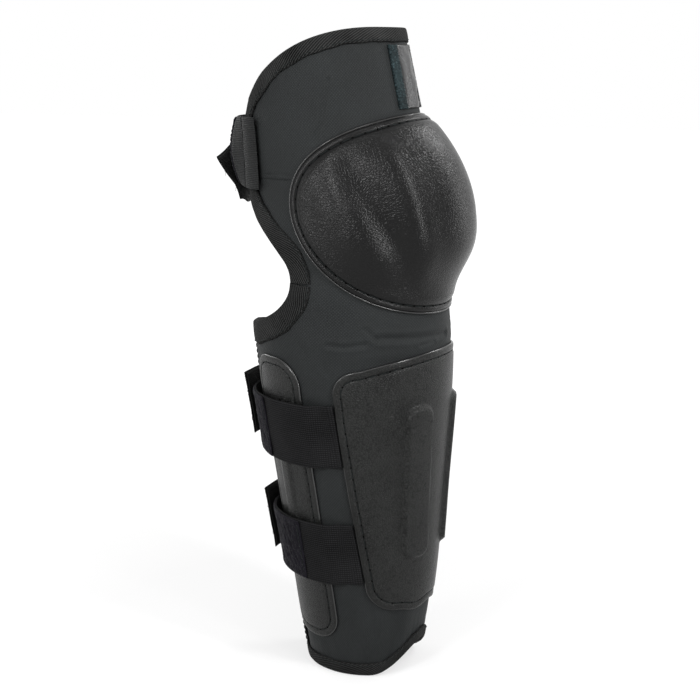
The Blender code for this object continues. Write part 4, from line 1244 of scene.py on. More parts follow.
@dataclass
class MouldedShell:
    """Hard shell sewn onto a pad: a beaded rim, a stitched groove and a grained middle."""

    name: str
    nodes: tuple[str, ...]
    body: Body
    slot: Slot
    finish: Finish
    outline: Callable[[], list[Places]]
    raised: Zone
    cells: tuple[int, int]
    rim: RimProfile = PLATE_RIM
    side: Side = Side.LEFT
    base: float = PLATE_LEVEL - 0.0004
    thickness: float = 0.0021

    def edge(self) -> Places:
        """Closed outline, as cells along the bottom, right side, top and left side.

        Returns:
            Angles and heights, evenly spaced on each of the four sides.
        """
        angles, heights = [], []
        for (angle, height), count in zip(self.outline(), self.cells * 2):
            along = run_length(FORM.points(angle, height))
            even = np.linspace(0, along[-1], count, endpoint=False)
            angles.append(np.interp(even, along, angle))
            heights.append(np.interp(even, along, height))
        return np.concatenate(angles), np.concatenate(heights)

    def ring(self, edge: Places, distance: float) -> Places:
        """Outline drawn in by a distance.

        Args:
            edge: the outline.
            distance: how far it is drawn in.

        Returns:
            Angles and heights of the ring.
        """
        before = [np.roll(values, 1) for values in edge]
        after = [np.roll(values, -1) for values in edge]
        along, rise = FORM.inward(tuple(before), tuple(after))
        return FORM.moved(edge, (-along, -rise), distance)

    def middle(self, edge: Places) -> Places:
        """Grid of places inside a ring.

        Args:
            edge: the ring.

        Returns:
            Grids of angles and heights.
        """
        columns, rows = self.cells
        total = 2 * (columns + rows)
        i, j = np.arange(columns + 1), np.arange(rows + 1)
        a, b = (i / columns)[:, None], (j / rows)[None, :]
        grids = []
        for values in edge:
            low, high = values[i], values[2 * columns + rows - i]
            start, end = values[(total - j) % total], values[columns + j]
            across = lerp(low[:, None], high[:, None], b) + lerp(start[None, :], end[None, :], a)
            grids.append(across - lerp(lerp(low[0], low[-1], a), lerp(high[0], high[-1], a), b))
        return grids[0], grids[1]

    def cover(self, surface: Surface, rings: Sequence[Ring], edge: Places, bead: int) -> Array:
        """Add rings from the edge inwards and the grid inside the last.

        Args:
            surface: surface that takes them.
            rings: distance, level and grain of each ring.
            edge: the outline.
            bead: number of rings in the glossy bead.

        Returns:
            Numbers of the first ring's points.
        """
        numbers = []
        for distance, level, grain in rings[:-1]:
            angle, height = self.ring(edge, distance)
            raised = self.base + level + self.raised(angle, height)
            numbers.append(surface.add(FORM.points(angle, height, raised), FORM.flat(angle, height), grain))
        distance, level, grain = rings[-1]
        angle, height = self.middle(self.ring(edge, distance))
        raised = self.base + level + self.raised(angle, height)
        grid = surface.add(FORM.points(angle, height, raised), FORM.flat(angle, height), grain)
        surface.quads(grid)
        loop = [grid[:-1, 0], grid[-1, :-1], grid[:0:-1, -1], grid[0, :0:-1]]
        numbers.append(np.concatenate(loop))
        if bead:
            surface.quads(np.stack(numbers[:bead + 1]), 1, closed=True)
        surface.quads(np.stack(numbers[bead:]), closed=True)
        return numbers[0]

    def build(self) -> list[bpy.types.Object]:
        """Make the shell and its stitching and ride them on the body.

        Returns:
            Shell and stitching.
        """
        edge = self.edge()
        surface = Surface()
        top = self.cover(surface, self.rim.wall, edge, self.rim.bead)
        last, level, _ = self.rim.wall[-1]
        under = ((0.0011, 0.0, 0.0), (last, level - self.thickness, 1.0))
        base = self.cover(surface, under, edge, 0)
        surface.quads(np.stack([top, base]), closed=True)
        shell = surface.piece(self.name, (self.finish, BEAD), self.side)
        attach(shell, self.body.value)
        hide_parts(*self.nodes)
        distance, level = self.rim.stitch
        angle, height = self.ring(edge, distance)
        angle, height = np.append(angle, angle[0]), np.append(height, height[0])
        line = FORM.points(angle, height, self.base + level + self.raised(angle, height))
        stitches = Surface()
        # The near-black cups at the stitch joints are painted shade of the needle holes
        ThreadRow(hole=0.00075, wander=0.0009).lay(stitches, line, FORM.normals(angle, height))
        sewn = stitches.piece(self.name + "_stitching", (THREAD, HOLE_SHADE), self.side)
        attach(sewn, self.body.value)
        return [shell, sewn]


def rib_share(across: Array, up: Array, half_width: float, half_length: float, slopes: tuple[float, float, float]) -> Array:
    """Share of a rib's height.

    Args:
        across: distance beside the rib's middle line.
        up: distance along it from its middle.
        half_width: half the rib's width.
        half_length: half its length.
        slopes: widths of the flanks before the middle line, after it and at the ends.

    Returns:
        1 on the rib's crown to 0 beside it.
    """
    corner = 0.8 * half_width
    beside = np.abs(across) - (half_width - corner)
    beyond = np.abs(up) - (half_length - corner)
    outside = np.hypot(np.maximum(beside, 0), np.maximum(beyond, 0))
    inside = corner - outside - np.minimum(np.maximum(beside, beyond), 0)
    turned = np.clip(np.maximum(beyond, 0) / corner, 0, 1)
    flank = lerp(np.where(across < 0, slopes[0], slopes[1]), slopes[2], turned)
    share = np.clip(inside / flank, 0, 1)
    return lerp(share, ease(share), 0.5)


@dataclass
class PlateOutline:
    """Outline of a plate with round corners, from its side line and its arched ends."""

    bottom: float
    top: float
    corner: float
    side_angle: Callable[[Array], Array]
    arches: tuple[float, float] = (0.0, 0.0)
    centre: float = 0.0
    samples: int = 60

    def place(self, across: Array, row: Array) -> Places:
        """Place on the plate.

        Args:
            across: share from the middle, 1 at the left side.
            row: height above the plate's middle.

        Returns:
            Angle and height.
        """
        half = (self.top - self.bottom) / 2
        middle = (self.top + self.bottom) / 2
        reach = np.maximum(0.0, np.abs(row) - (half - self.corner))
        trim = self.corner - np.sqrt(np.maximum(0.0, self.corner ** 2 - reach ** 2))
        share = (row + half) / (2 * half)
        edge = self.side_angle(share)
        height = middle + row
        angle = self.centre + across * (edge - FORM.degrees(trim, self.centre + edge, height))
        drop = -self.arches[1] * across * across
        rise = self.arches[0] * (1 + np.cos(2 * np.pi * across)) / 2
        return angle, height + lerp(rise, drop, share)

    def sides(self) -> list[Places]:
        """Outline as four runs that meet halfway round the corners.

        Returns:
            Bottom, right side, top and left side.
        """
        half = (self.top - self.bottom) / 2
        turn = np.radians(np.linspace(0, 45, self.samples))
        near = half - self.corner * (1 - np.sin(turn))
        far = half - self.corner * (1 - np.sin(turn + np.radians(45)))
        straight = np.linspace(-(half - self.corner), half - self.corner, self.samples)
        flat = np.linspace(1, -1, 4 * self.samples)

        def run(side: float, rows: Array) -> Places:
            """Part of one side."""
            return self.place(np.full_like(rows, side), rows)

        up = np.concatenate([-near[:0:-1], straight, near[1:]])
        runs = [
            (run(1, -far), self.place(flat, np.full_like(flat, -half)), run(-1, -far[::-1])),
            (run(-1, up),),
            (run(-1, far), self.place(-flat, np.full_like(flat, half)), run(1, far[::-1])),
            (run(1, up[::-1]),),
        ]
        joined = [tuple(np.concatenate([part[k] for part in parts]) for k in range(2)) for parts in runs]
        starts = [(angle[0], height[0]) for angle, height in joined]
        closed = []
        for (angle, height), (a, h) in zip(joined, starts[1:] + starts[:1]):
            closed.append((np.append(angle, a), np.append(height, h)))
        return closed


@dataclass
class ShinPlate:
    """Shin plate with two upright ribs."""

    bottom: float = 0.057
    top: float = 0.274
    corner: float = 0.022
    top_angle: float = 78.5
    bottom_angle: float = 62.0
    side_power: float = 1.6
    arches: tuple[float, float] = (0.003, 0.012)
    rib_angle: float = 24.5
    rib_width: float = 0.0256
    rib_ends: tuple[float, float] = (0.103, 0.233)
    rib_height: float = 0.0040
    rib_slopes: tuple[float, float, float] = (0.0034, 0.0020, 0.0050)

    def side_angle(self, share: Array) -> Array:
        """Angle of the plate's side by share of its height."""
        return self.top_angle - (self.top_angle - self.bottom_angle) * (1 - share) ** self.side_power

    def edge_angle(self, height: float) -> Array:
        """Angle of the plate's side at a height."""
        across_drop = self.arches[1]
        share = (height + across_drop - self.bottom) / (self.top - self.bottom)
        return self.side_angle(np.clip((height + across_drop * share - self.bottom) / (self.top - self.bottom), 0, 1))

    def ribs(self, angle: Array, height: Array) -> Array:
        """Level of the two ribs."""
        middle = sum(self.rib_ends) / 2
        across = np.radians(np.abs(angle) - self.rib_angle) * FORM.radius(angle, height)
        half_length = (self.rib_ends[1] - self.rib_ends[0]) / 2
        return self.rib_height * rib_share(across, height - middle, self.rib_width / 2, half_length, self.rib_slopes)

    def covers(self, angle: Array, height: Array) -> Array:
        """Distance inside the plate's outline, for pressing the pad down."""
        share = np.clip((height - self.bottom) / (self.top - self.bottom), 0, 1)
        beside = np.radians(self.side_angle(share) - np.abs(angle)) * FORM.radius(angle, height)
        lower = height - self.bottom - 0.004
        upper = self.top - self.arches[1] * (angle / self.top_angle) ** 2 - height
        return np.minimum(np.minimum(beside, lower), upper)

    def build(self) -> list[bpy.types.Object]:
        """Make the plate and its stitching."""
        outline = PlateOutline(self.bottom, self.top, self.corner, self.side_angle, self.arches)
        shell = MouldedShell("shin_plate_shell", ("shin_plate",), Body.SHIN, Slot.PLATE, PLATE_GRAIN,
                             outline.sides, self.ribs, (150, 160))
        return shell.build()


@dataclass
class CalfPlate:
    """Long plate on a calf wing, with one low rib."""

    side: Side
    body: Body
    label: str
    bottom: float = 0.030
    top: float = 0.267
    corner: float = 0.022
    centre: float = 120.0
    half_width: float = 0.029
    rib_width: float = 0.016
    rib_margin: float = 0.050
    rib_height: float = 0.0015
    rib_slopes: tuple[float, float, float] = (0.0045, 0.0045, 0.0060)

    def half_angle(self, share: Array) -> Array:
        """Half the angle that the plate spans."""
        return FORM.degrees(self.half_width, self.centre, lerp(self.bottom, self.top, share))

    def rib(self, angle: Array, height: Array) -> Array:
        """Level of the rib."""
        across = np.radians(angle - self.centre) * FORM.radius(self.centre, height)
        middle = (self.top + self.bottom) / 2
        half_length = (self.top - self.bottom) / 2 - self.rib_margin
        return self.rib_height * rib_share(across, height - middle, self.rib_width / 2, half_length, self.rib_slopes)

    def covers(self, angle: Array, height: Array) -> Array:
        """Distance inside the plate's outline."""
        beside = self.half_width - np.abs(np.radians(angle - self.centre) * FORM.radius(self.centre, height))
        return np.minimum(np.minimum(beside, height - self.bottom), self.top - height)

    def build(self) -> list[bpy.types.Object]:
        """Make the plate and its stitching."""
        outline = PlateOutline(self.bottom, self.top, self.corner, self.half_angle, centre=self.centre)
        shell = MouldedShell(self.label + "_plate_shell", (self.label + "_plate",), self.body, Slot.PLATE,
                             PLATE_GRAIN, outline.sides, self.rib, (48, 150), side=self.side)
        return shell.build()


@dataclass
class KneeCap:
    """Domed knee cap with a central boss between two grooves and lobes."""

    middle: float = 0.3785
    half_height: float = 0.0765
    half_angle: float = 97.0
    side_lift: float = 0.0075
    lower_bulge: float = 0.0040
    rise: float = 0.0290
    upper_fullness: float = 0.78
    lower_shoulder: float = 0.580
    lower_softness: float = 0.130
    groove: tuple[float, float, float, float] = (0.490, 0.48, 0.090, 0.0052)
    lobe: tuple[float, float, float, float] = (0.690, 0.38, 0.160, 0.0066)
    ridge: tuple[float, float, float, float] = (0.325, 0.24, 0.078, 0.0048)
    relief_fade: float = 0.40
    samples: int = 200

    def oval(self, angle: Array, height: Array) -> Places:
        """Shares of the cap's oval, each 0 at its middle, for a place."""
        across = np.clip(angle / self.half_angle, -1, 1)
        above = height - self.middle - self.side_lift * across ** 2
        lower = self.half_height + self.lower_bulge * 4 * across ** 2 * (1 - across ** 2)
        return across, np.where(above >= 0, above / self.half_height, above / lower)

    def dome(self, angle: Array, height: Array) -> Array:
        """Level of the dome with its ridge, groove and lobe.

        Args:
            angle: angles of places.
            height: heights of places.

        Returns:
            Levels over the cap's rim.
        """
        across, up = self.oval(angle, height)
        a = np.abs(across)
        reach = np.clip(up / np.sqrt(np.maximum(1e-6, 1 - a * a)), -1, 1)
        over = np.maximum(0.0, np.cos(np.pi / 2 * reach)) ** self.upper_fullness
        rim, top = self.shoulder(np.array([-1.0, 0.0]))
        under = (self.shoulder(reach) - rim) / (top - rim)
        level = self.rise * (1 + np.cos(np.pi * across)) / 2
        fade = ease((1 - np.abs(reach)) / self.relief_fade) * (1 - across ** 2)
        for (place, slant, width, tall), sign in ((self.groove, -1), (self.lobe, 1), (self.ridge, 1)):
            level = level + sign * tall * bell(a - place * (1 + slant * up), width) * fade
        return np.where(reach >= 0, over, under) * level

    def shoulder(self, reach: Array) -> Array:
        """Share of the dome's level below its middle, by share of the way to the rim."""
        return 1 / (1 + np.exp((-reach - self.lower_shoulder) / self.lower_softness))

    def covers(self, angle: Array, height: Array) -> Array:
        """Distance inside the cap's outline, roughly."""
        across, up = self.oval(angle, height)
        outside = np.abs(angle) > self.half_angle
        return np.where(outside, -0.02, (1 - np.hypot(across, up)) * self.half_height)

    def sides(self) -> list[Places]:
        """Outline as bottom, right side, top and left side."""
        runs = []
        for start in (-45, -135, -225, -315):
            turn = np.radians(np.linspace(start, start - 90, self.samples))
            across, up = np.cos(turn), np.sin(turn)
            bulge = self.lower_bulge * np.maximum(0.0, -up) * 4 * across ** 2 * (1 - across ** 2)
            height = self.middle + self.half_height * up + self.side_lift * across ** 2 - bulge
            runs.append((self.half_angle * across, height))
        return runs

    def build(self) -> list[bpy.types.Object]:
        """Make the cap and its stitching."""
        shell = MouldedShell("knee_cap_dome", ("knee_cap", "knee_cap_foam"), Body.KNEE, Slot.CAP, CAP_LEATHER,
                             self.sides, self.dome, (150, 150), CAP_RIM)
        return shell.build()


@dataclass
class EdgePath:
    """Places along a raw edge with the direction into the padding."""

    angle: Array
    height: Array
    along: Array
    rise: Array

    @classmethod
    def on(cls, edge: Edge, start: float, end: float, step: float = 0.0024) -> "EdgePath":
        """Path along an edge, evenly spaced.

        Args:
            edge: the edge.
            start: value at the path's start.
            end: value at its end.
            step: spacing.

        Returns:
            The path.
        """
        dense = np.linspace(start, end, 400)
        length = run_length(FORM.points(*edge(dense)))
        count = max(4, int(length[-1] / step))
        values = np.interp(np.linspace(0, length[-1], count + 1), length, dense)
        nudge = (end - start) * 0.001
        along, rise = FORM.inward(edge(values - nudge), edge(values + nudge))
        angle, height = edge(values)
        return cls(angle, height, along, rise)

    def mirrored(self) -> "EdgePath":
        """The same path on the other side, run backwards."""
        return EdgePath(-self.angle[::-1], self.height[::-1], -self.along[::-1], self.rise[::-1])

    def joined(self, other: "EdgePath", clear: float) -> "EdgePath":
        """This path and another that starts at its end, mitred at the corner.

        Args:
            other: the path that follows.
            clear: length without places on both sides of the corner.

        Returns:
            The whole path.
        """
        before, after = np.array([self.along[-1], self.rise[-1]]), np.array([other.along[0], other.rise[0]])
        halfway = before + after
        halfway = halfway / (halfway @ before)
        own = run_length(FORM.points(self.angle, self.height))
        own = own[-1] - own > clear
        theirs = run_length(FORM.points(other.angle, other.height)) > clear
        parts = []
        for mine, corner, next_ in ((self.angle, self.angle[-1], other.angle), (self.height, self.height[-1], other.height),
                                    (self.along, halfway[0], other.along), (self.rise, halfway[1], other.rise)):
            parts.append(np.concatenate([mine[own], [corner], next_[theirs]]))
        return EdgePath(*parts)

    def extended(self, other: "EdgePath") -> "EdgePath":
        """This path and another that goes straight on from it."""
        pairs = ((self.angle, other.angle), (self.height, other.height), (self.along, other.along), (self.rise, other.rise))
        return EdgePath(*(np.concatenate([mine, next_[1:]]) for mine, next_ in pairs))


@dataclass
class BindingTape:
    """Tape folded round a raw edge, with a row of stitches along its free edge."""

    name: str
    node: str
    body: Body
    path: EdgePath
    side: Side = Side.LEFT
    hem: bool = False
    seed: int = 5
    width: float = 0.0115
    face: float = 0.00145
    crown: float = 0.00045
    back: float = -0.0090
    sewn: float = 0.0019
    extra: Array | float = 0.0

    def section(self) -> Array:
        """Closed section of the folded tape, as reach and level.

        Returns:
            Points round the section.
        """
        reach = np.linspace(self.width - 0.0006, 0.0016, 9)
        front = np.stack([reach, self.face + self.crown * np.sin(np.pi * reach / self.width)], axis=-1)
        fold = [(0.0006, self.face - 0.0004), (0.0001, self.face - 0.0016), (0.0, -0.0038),
                (0.0001, self.back + 0.0016), (0.0006, self.back + 0.0004)]
        behind = np.stack([reach[::-1], np.full(9, self.back)], axis=-1)
        inner = [(self.width, self.back + 0.0005), (self.width - 0.0006, self.back + 0.0009), (0.0022, self.back + 0.0009),
                 (0.0013, self.back + 0.0018), (0.0012, -0.0010), (0.0022, 0.0002), (self.width - 0.0006, 0.0002),
                 (self.width, 0.0007)]
        return np.concatenate([front, fold, behind, inner])

    def place(self, reach: Array, level: Array) -> Array:
        """Points of the tape.

        Args:
            reach: distances from the fold, by path place and section point.
            level: levels of the same shape.

        Returns:
            Points of the same shape.
        """
        path = self.path
        start = (path.angle[:, None], path.height[:, None])
        direction = (np.zeros((1, 1)), np.ones((1, 1))) if self.hem else (path.along[:, None], path.rise[:, None])
        angle, height = FORM.moved(start, direction, reach)
        angle = np.broadcast_to(angle, reach.shape)
        points = FORM.points(angle, np.broadcast_to(height, reach.shape), level)
        if self.hem:
            near = ease(reach / 0.003)
            points[..., 2] = lerp(np.broadcast_to(start[1] + reach, reach.shape), points[..., 2], near)
        return points

    def build(self) -> bpy.types.Object:
        """Make the tape with its stitches.

        Returns:
            The tape.
        """
        section = self.section()
        length = run_length(FORM.points(self.path.angle, self.path.height))
        round_ = run_length(np.vstack([section, section[:1]]))[:-1]
        extra = np.broadcast_to(self.extra, length.shape)[:, None]
        flats = np.stack(np.broadcast_arrays(length[:, None], round_[None, :] * (1 + extra / self.width)), axis=-1)
        waver = ripples(np.stack([length, np.zeros_like(length)], axis=-1), self.seed, 0.02)[:, None]
        free = ease((section[:, 0] - 0.004) / (self.width - 0.004))[None, :]
        wider = extra * np.clip((section[:, 0] - 0.0022) / (self.width - 0.0022), 0, 1)[None, :]
        reach = section[:, 0][None, :] + wider + 0.00035 * waver * free
        level = section[:, 1][None, :] + 0.00012 * np.roll(waver, 3) * (section[:, 1] > 0)[None, :]
        surface = Surface()
        surface.tube(self.place(reach, np.broadcast_to(level, reach.shape)), flats)
        row = self.width - self.sewn + extra
        line = self.place(row, np.full_like(row, self.face + 0.0003))[:, 0]
        normals = FORM.normals(self.path.angle, self.path.height)
        ThreadRow(pitch=0.0046, share=0.8, radius=0.0003).lay(surface, line, normals, 1)
        tape = surface.piece(self.name, (TWILL, THREAD), self.side)
        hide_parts(self.node)
        return tape


@dataclass
class StrapRun:
    """Path of a flat strap round the leg: stations of angle, level, rise, slant and bow.

    The bow is how much nearer to the leg the strap lies along its edges than along its middle.
    """

    middle: float
    width: float
    stations: list[tuple[float, float, float, float, float]]
    tail: tuple[float, float, float] = (0.0, 1.0, 0.0)

    def __post_init__(self) -> None:
        """Make curves through the stations."""
        angle, level, rise, slant, bow = np.array(self.stations).T
        self.first, self.last = angle[0], angle[-1]
        self.level = StationCurve(angle, level)
        self.rise = StationCurve(angle, rise)
        self.bow = StationCurve(angle, bow)
        self.knots, self.slants = angle, slant

    def place(self, angle: Array, across: Array) -> tuple[Array, Array, Array]:
        """Places on the strap.

        Args:
            angle: angles along the strap.
            across: distances above its middle line.

        Returns:
            Angles, heights and levels of the strap's underside.
        """
        start, narrowed, lean = self.tail
        late = ease((angle - start) / (self.last - start))
        across = across * lerp(1.0, narrowed, late)
        turned = angle + np.interp(angle, self.knots, self.slants) * across
        rise = self.rise(angle)
        sunk = self.bow(angle) * np.minimum(1.0, (2 * (rise + across) / self.width) ** 2)
        return turned, self.middle + rise + across, self.level(angle) - sunk + lean * late * across


def lap_share(angle: float) -> float:
    """How far a hook strap has climbed onto the loop strap."""
    return float(ease((angle - 151.0) / 18.0))


LAP_RISE = 0.0055
LOOP_END = 186.0
HOOK_START = 171.0
HOOK_END = 200.0
TAIL_FLARE = 0.0032
TAIL_RAMP = 12.0
STATION_STEP = 9.0
CALF_STRAP_WIDTH = 0.051
FOLD_SLANT = (SLEEVE.fold_angles[1] - SLEEVE.fold_angles[0]) / (SLEEVE.fold_heights[1] - SLEEVE.fold_heights[0])


def lap_level(angle: float) -> float:
    """Level that a hook strap gains over the loop strap, with its free end flared out."""
    return LAP_RISE * lap_share(angle) + TAIL_FLARE * float(ease((angle - HOOK_END + TAIL_RAMP) / TAIL_RAMP))


def strap_root(middle: float) -> float:
    """Angle at which a calf strap starts, just behind the fold line."""
    fold = float(SLEEVE.fold(np.array(middle))[0])
    return fold + float(FORM.degrees(0.0020, fold, middle))


def calf_run(middle: float, last: float, laps: bool) -> StrapRun:
    """Path of a calf strap from its root behind the fold line.

    Args:
        middle: height of the strap's middle.
        last: angle of its end.
        laps: whether it climbs onto the other strap.

    Returns:
        The path.
    """
    root = strap_root(middle)
    climb = 120.0 - float(FORM.degrees(0.029, 120.0, middle - CALF_STRAP_WIDTH / 2)) - 3.0
    stations = [(root, STRAP_OVER_PAD, 0.0, FOLD_SLANT, 0.0),
                (lerp(root, climb, 0.4), STRAP_OVER_PAD, 0.0, 0.0, 0.0)]
    steps = math.ceil((last - climb) / STATION_STEP)
    for k in range(steps + 1):
        angle = lerp(climb, last, k / steps)
        level = STRAP_OVER_PLATE + laps * lap_level(angle)
        rise = laps * 0.010 * float(ease((angle - climb) / (HOOK_START - climb)))
        stations.append((angle, level, rise, 0.0, 0.0))
    return StrapRun(middle, CALF_STRAP_WIDTH, stations)


def root_run(middle: float, plate: ShinPlate) -> StrapRun:
    """Path of the short stretch of a calf strap between the shin plate and the fold line.

    Args:
        middle: height of the strap's middle.
        plate: the plate that the strap comes out from under.

    Returns:
        The path.
    """
    reach = 0.010
    below, above = (float(plate.edge_angle(middle + step)) for step in (-reach, reach))
    start = float(plate.edge_angle(middle))
    start += float(FORM.degrees(0.0003, start, middle))
    end = strap_root(middle) - float(FORM.degrees(0.0001, start, middle))
    ends = ((start, (above - below) / (2 * reach)), (end, FOLD_SLANT))
    return StrapRun(middle, CALF_STRAP_WIDTH, [(angle, STRAP_OVER_PAD, 0.0, slant, 0.0) for angle, slant in ends])


def thigh_run(last: float, laps: bool) -> StrapRun:
    """Path of a thigh strap from the thigh's back edge, slack behind the leg.

    Args:
        last: angle of its end.
        laps: whether it climbs onto the other strap.

    Returns:
        The path.
    """
    stations = []
    steps = math.ceil((last - SLEEVE.thigh_edge) / STATION_STEP)
    for k in range(steps + 1):
        angle = lerp(SLEEVE.thigh_edge, last, k / steps)
        slack = float(ease((angle - SLEEVE.thigh_edge) / 16.0))
        level = STRAP_OVER_TAPE + 0.0085 * slack + laps * lap_level(angle)
        drop = laps * 0.022 * float(ease((angle - SLEEVE.thigh_edge) / (HOOK_END - SLEEVE.thigh_edge)))
        stations.append((angle, level, -drop, 0.0, 0.0065 * slack))
    return StrapRun(0.4245, 0.055, stations, (178.0, 0.64, 0.32) if laps else (0.0, 1.0, 0.0))


def thigh_end_run() -> StrapRun:
    """Path of a thigh strap's end that is sewn down on the back edge."""
    last = SLEEVE.thigh_edge - float(FORM.degrees(0.0012, SLEEVE.thigh_edge, 0.4245))
    return StrapRun(0.4245, 0.055, [(angle, STRAP_OVER_TAPE, 0.0, 0.0, 0.0) for angle in (120.0, last)])


@dataclass
class FlatBand:
    """Flat band on a strap's path: webbing, loop pile or hook tape."""

    name: str
    node: str | None
    run: StrapRun
    finish: Finish
    slot: Slot
    side: Side
    base: float = 0.0
    thickness: float = 0.0018
    margin: float = 0.0
    start: float = 0.0
    end: float = 360.0
    rows: tuple[float, ...] = ()
    open_ends: tuple[bool, bool] = (False, False)
    curl: float = 0.0004
    crown: float = 0.0
    fuzz: float = 0.0
    seed: int = 3
    step: float = 0.0016

    def build(self) -> bpy.types.Object:
        """Make the band with the stitch rows that cross it.

        Returns:
            The band.
        """
        run = self.run
        first, last = max(self.start, run.first), min(self.end, run.last)
        dense = np.linspace(first, last, 200)
        length = run_length(FORM.points(*run.place(dense, 0.0 * dense)))
        count = max(6, int(length[-1] / self.step))
        shares = spread(count)
        angle = np.interp(shares * length[-1], length, dense)[:, None]
        half = run.width / 2 - self.margin
        across = (spread(26) * 2 - 1)[None, :] * half
        turned, height, level = run.place(angle, across)
        level = np.broadcast_to(level, height.shape)
        flats = np.stack(np.broadcast_arrays((shares * length[-1])[:, None], across), axis=-1)
        before, after = shares + self.open_ends[0], 1 - shares + self.open_ends[1]
        edge = np.minimum(half - np.abs(across), np.minimum(before, after)[:, None] * length[-1])
        rounded = 0.35 * self.thickness * np.exp(-edge / 0.0006)
        bow = self.curl * (across / half) ** 4 + 0.0001 * ripples(flats, self.seed, 0.018)
        bow = bow + self.crown * np.sin(np.pi * shares)[:, None]
        draw = np.random.default_rng(self.seed)
        rough = self.fuzz * draw.uniform(-1, 1, height.shape) * ease(edge / 0.002)
        outer = FORM.points(turned, height, level + self.base + self.thickness - rounded + bow + rough)
        inner = FORM.points(turned, height, level + self.base + rounded + bow)
        surface = Surface()
        surface.shell(outer, inner, flats)
        for row in self.rows:
            at = np.interp(row if row >= 0 else length[-1] + row, length, dense)
            side = np.linspace(-half + 0.0025, half - 0.0025, 40)
            places = run.place(np.full_like(side, at), side)
            line = FORM.points(places[0], places[1], places[2] + self.base + self.thickness + 0.0001)
            ThreadRow(pitch=0.0034, share=0.8, radius=0.00035).lay(surface, line, FORM.normals(*places[:2]), 1)
        band = surface.piece(self.name, (self.finish, THREAD), self.side)
        if self.node:
            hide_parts(self.node)
        return band


@dataclass
class FrontPatch:
    """Patch on the front of the thigh: bare satin with a zigzag border on its left and a hem on its right."""

    half_angle: float = 15.0
    bottom: float = 0.4590
    top: float = 0.5060
    thickness: float = 0.0012
    border: float = 0.0078
    hem: float = 0.0020
    border_rise: float = 0.0006
    pillow: float = 0.0014
    border_share: float = 0.25

    def build(self) -> list[bpy.types.Object]:
        """Make the satin and its borders.

        Returns:
            Satin, left border and right hem.
        """
        shares, rows = spread(40), spread(44)
        angle = lerp(self.half_angle, -self.half_angle, shares)[:, None]
        height = lerp(self.bottom, self.top, rows)[None, :]
        angle, height = np.broadcast_arrays(angle, height)
        flats = FORM.flat(angle, height)
        inside = np.clip((shares - self.border_share) / (1 - self.border_share), 0, 1)[:, None]
        pillow = np.sin(np.pi * inside) ** 0.7 * np.sin(np.pi * np.clip(rows, 0, 1)) ** 0.4
        level = PLATE_LEVEL + self.thickness * 0.8 + self.pillow * pillow + 0.00025 * ripples(flats, 11, 0.014) * inside
        surface = Surface()
        surface.shell(FORM.points(angle, height, level), FORM.points(angle, height, 0.0002), flats)
        satin = surface.piece("front_satin", (SATIN,))
        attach(satin, Body.KNEE.value)
        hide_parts("front_patch")
        return [satin, self.strip(Side.LEFT, self.border, FRINGE), self.strip(Side.RIGHT, self.hem, SATIN)]

    def strip(self, side: Side, width: float, finish: Finish) -> bpy.types.Object:
        """One sewn border.

        Args:
            side: side of the patch that it runs down.
            width: its width.
            finish: its finish.

        Returns:
            The border.
        """
        rows = np.linspace(0, 1, 120)
        height = lerp(self.bottom - 0.0004, self.top + 0.0004, rows)[None, :]
        ragged = 0.0005 * np.abs(np.mod(rows * 22, 1.0) * 2 - 1)[None, :]
        draw = np.random.default_rng(21 + side.value)
        ragged = ragged + 0.0007 * draw.uniform(0, 1, (1, len(rows)))
        shares = spread(12)[:, None]
        outer = self.half_angle + FORM.degrees(0.0008 + ragged, self.half_angle, height)
        inner = self.half_angle - FORM.degrees(width + ragged, self.half_angle, height)
        angle = lerp(outer, inner, shares)
        height = np.broadcast_to(height, angle.shape)
        crown = self.border_rise * np.sin(np.pi * shares) ** 0.5 + 0.00035 * draw.uniform(-1, 1, angle.shape)
        top = PLATE_LEVEL + self.thickness * 0.8 + crown
        surface = Surface()
        base = FORM.points(angle, height, 0.0003)
        surface.shell(FORM.points(angle, height, top), base, FORM.flat(angle, height))
        made = surface.piece(side.name.lower() + "_patch_border", (finish,), side)
        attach(made, Body.KNEE.value)
        return made


@dataclass
class LooseThreads:
    """A few frayed threads at the cut end of a hook strap."""

    name: str
    run: StrapRun
    body: Body
    count: int = 9
    seed: int = 31
    radius: float = 0.00016

    def build(self) -> bpy.types.Object:
        """Make the threads.

        Returns:
            One object of all threads.
        """
        draw = np.random.default_rng(self.seed)
        surface = Surface()
        t = np.linspace(0, 1, 8)
        turn = np.linspace(0, 2 * np.pi, 5, endpoint=False)
        for _ in range(self.count):
            across = draw.uniform(-0.9, 0.9) * self.run.width / 2
            reach, drop, lift = draw.uniform(1.5, 5.0), draw.uniform(-0.004, 0.004), draw.uniform(-0.0003, 0.0006)
            angle, height, level = self.run.place(np.full_like(t, self.run.last), np.full_like(t, across))
            angle = angle - 1.0 + (reach + 1.0) * t
            height = height + drop * t * t
            line = FORM.points(angle, height, level + 0.0006 + lift * t)
            ahead = unit(np.gradient(line, axis=0))
            out = FORM.normals(angle, height)
            beside = unit(np.cross(ahead, out))
            out = np.cross(beside, ahead)
            round_ = np.cos(turn)[:, None] * beside[:, None, :] + np.sin(turn)[:, None] * out[:, None, :]
            flats = np.stack(np.broadcast_arrays(run_length(line)[:, None], turn * self.radius), axis=-1)
            surface.tube(line[:, None, :] + self.radius * round_, flats)
        made = surface.piece(self.name, (THREAD,), Side.RIGHT)
        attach(made, self.body.value)
        return made


@dataclass
class Bend:
    """Stretch between two bodies, in the leg's frame, where a soft piece would turn; nothing bends it here."""

    first: Body
    second: Body
    start: tuple[float, float, float]
    end: tuple[float, float, float]

    def apply(self, piece: bpy.types.Object) -> None:
        """Bake the piece's transform into its mesh; the piece is not bent."""
        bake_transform(piece)


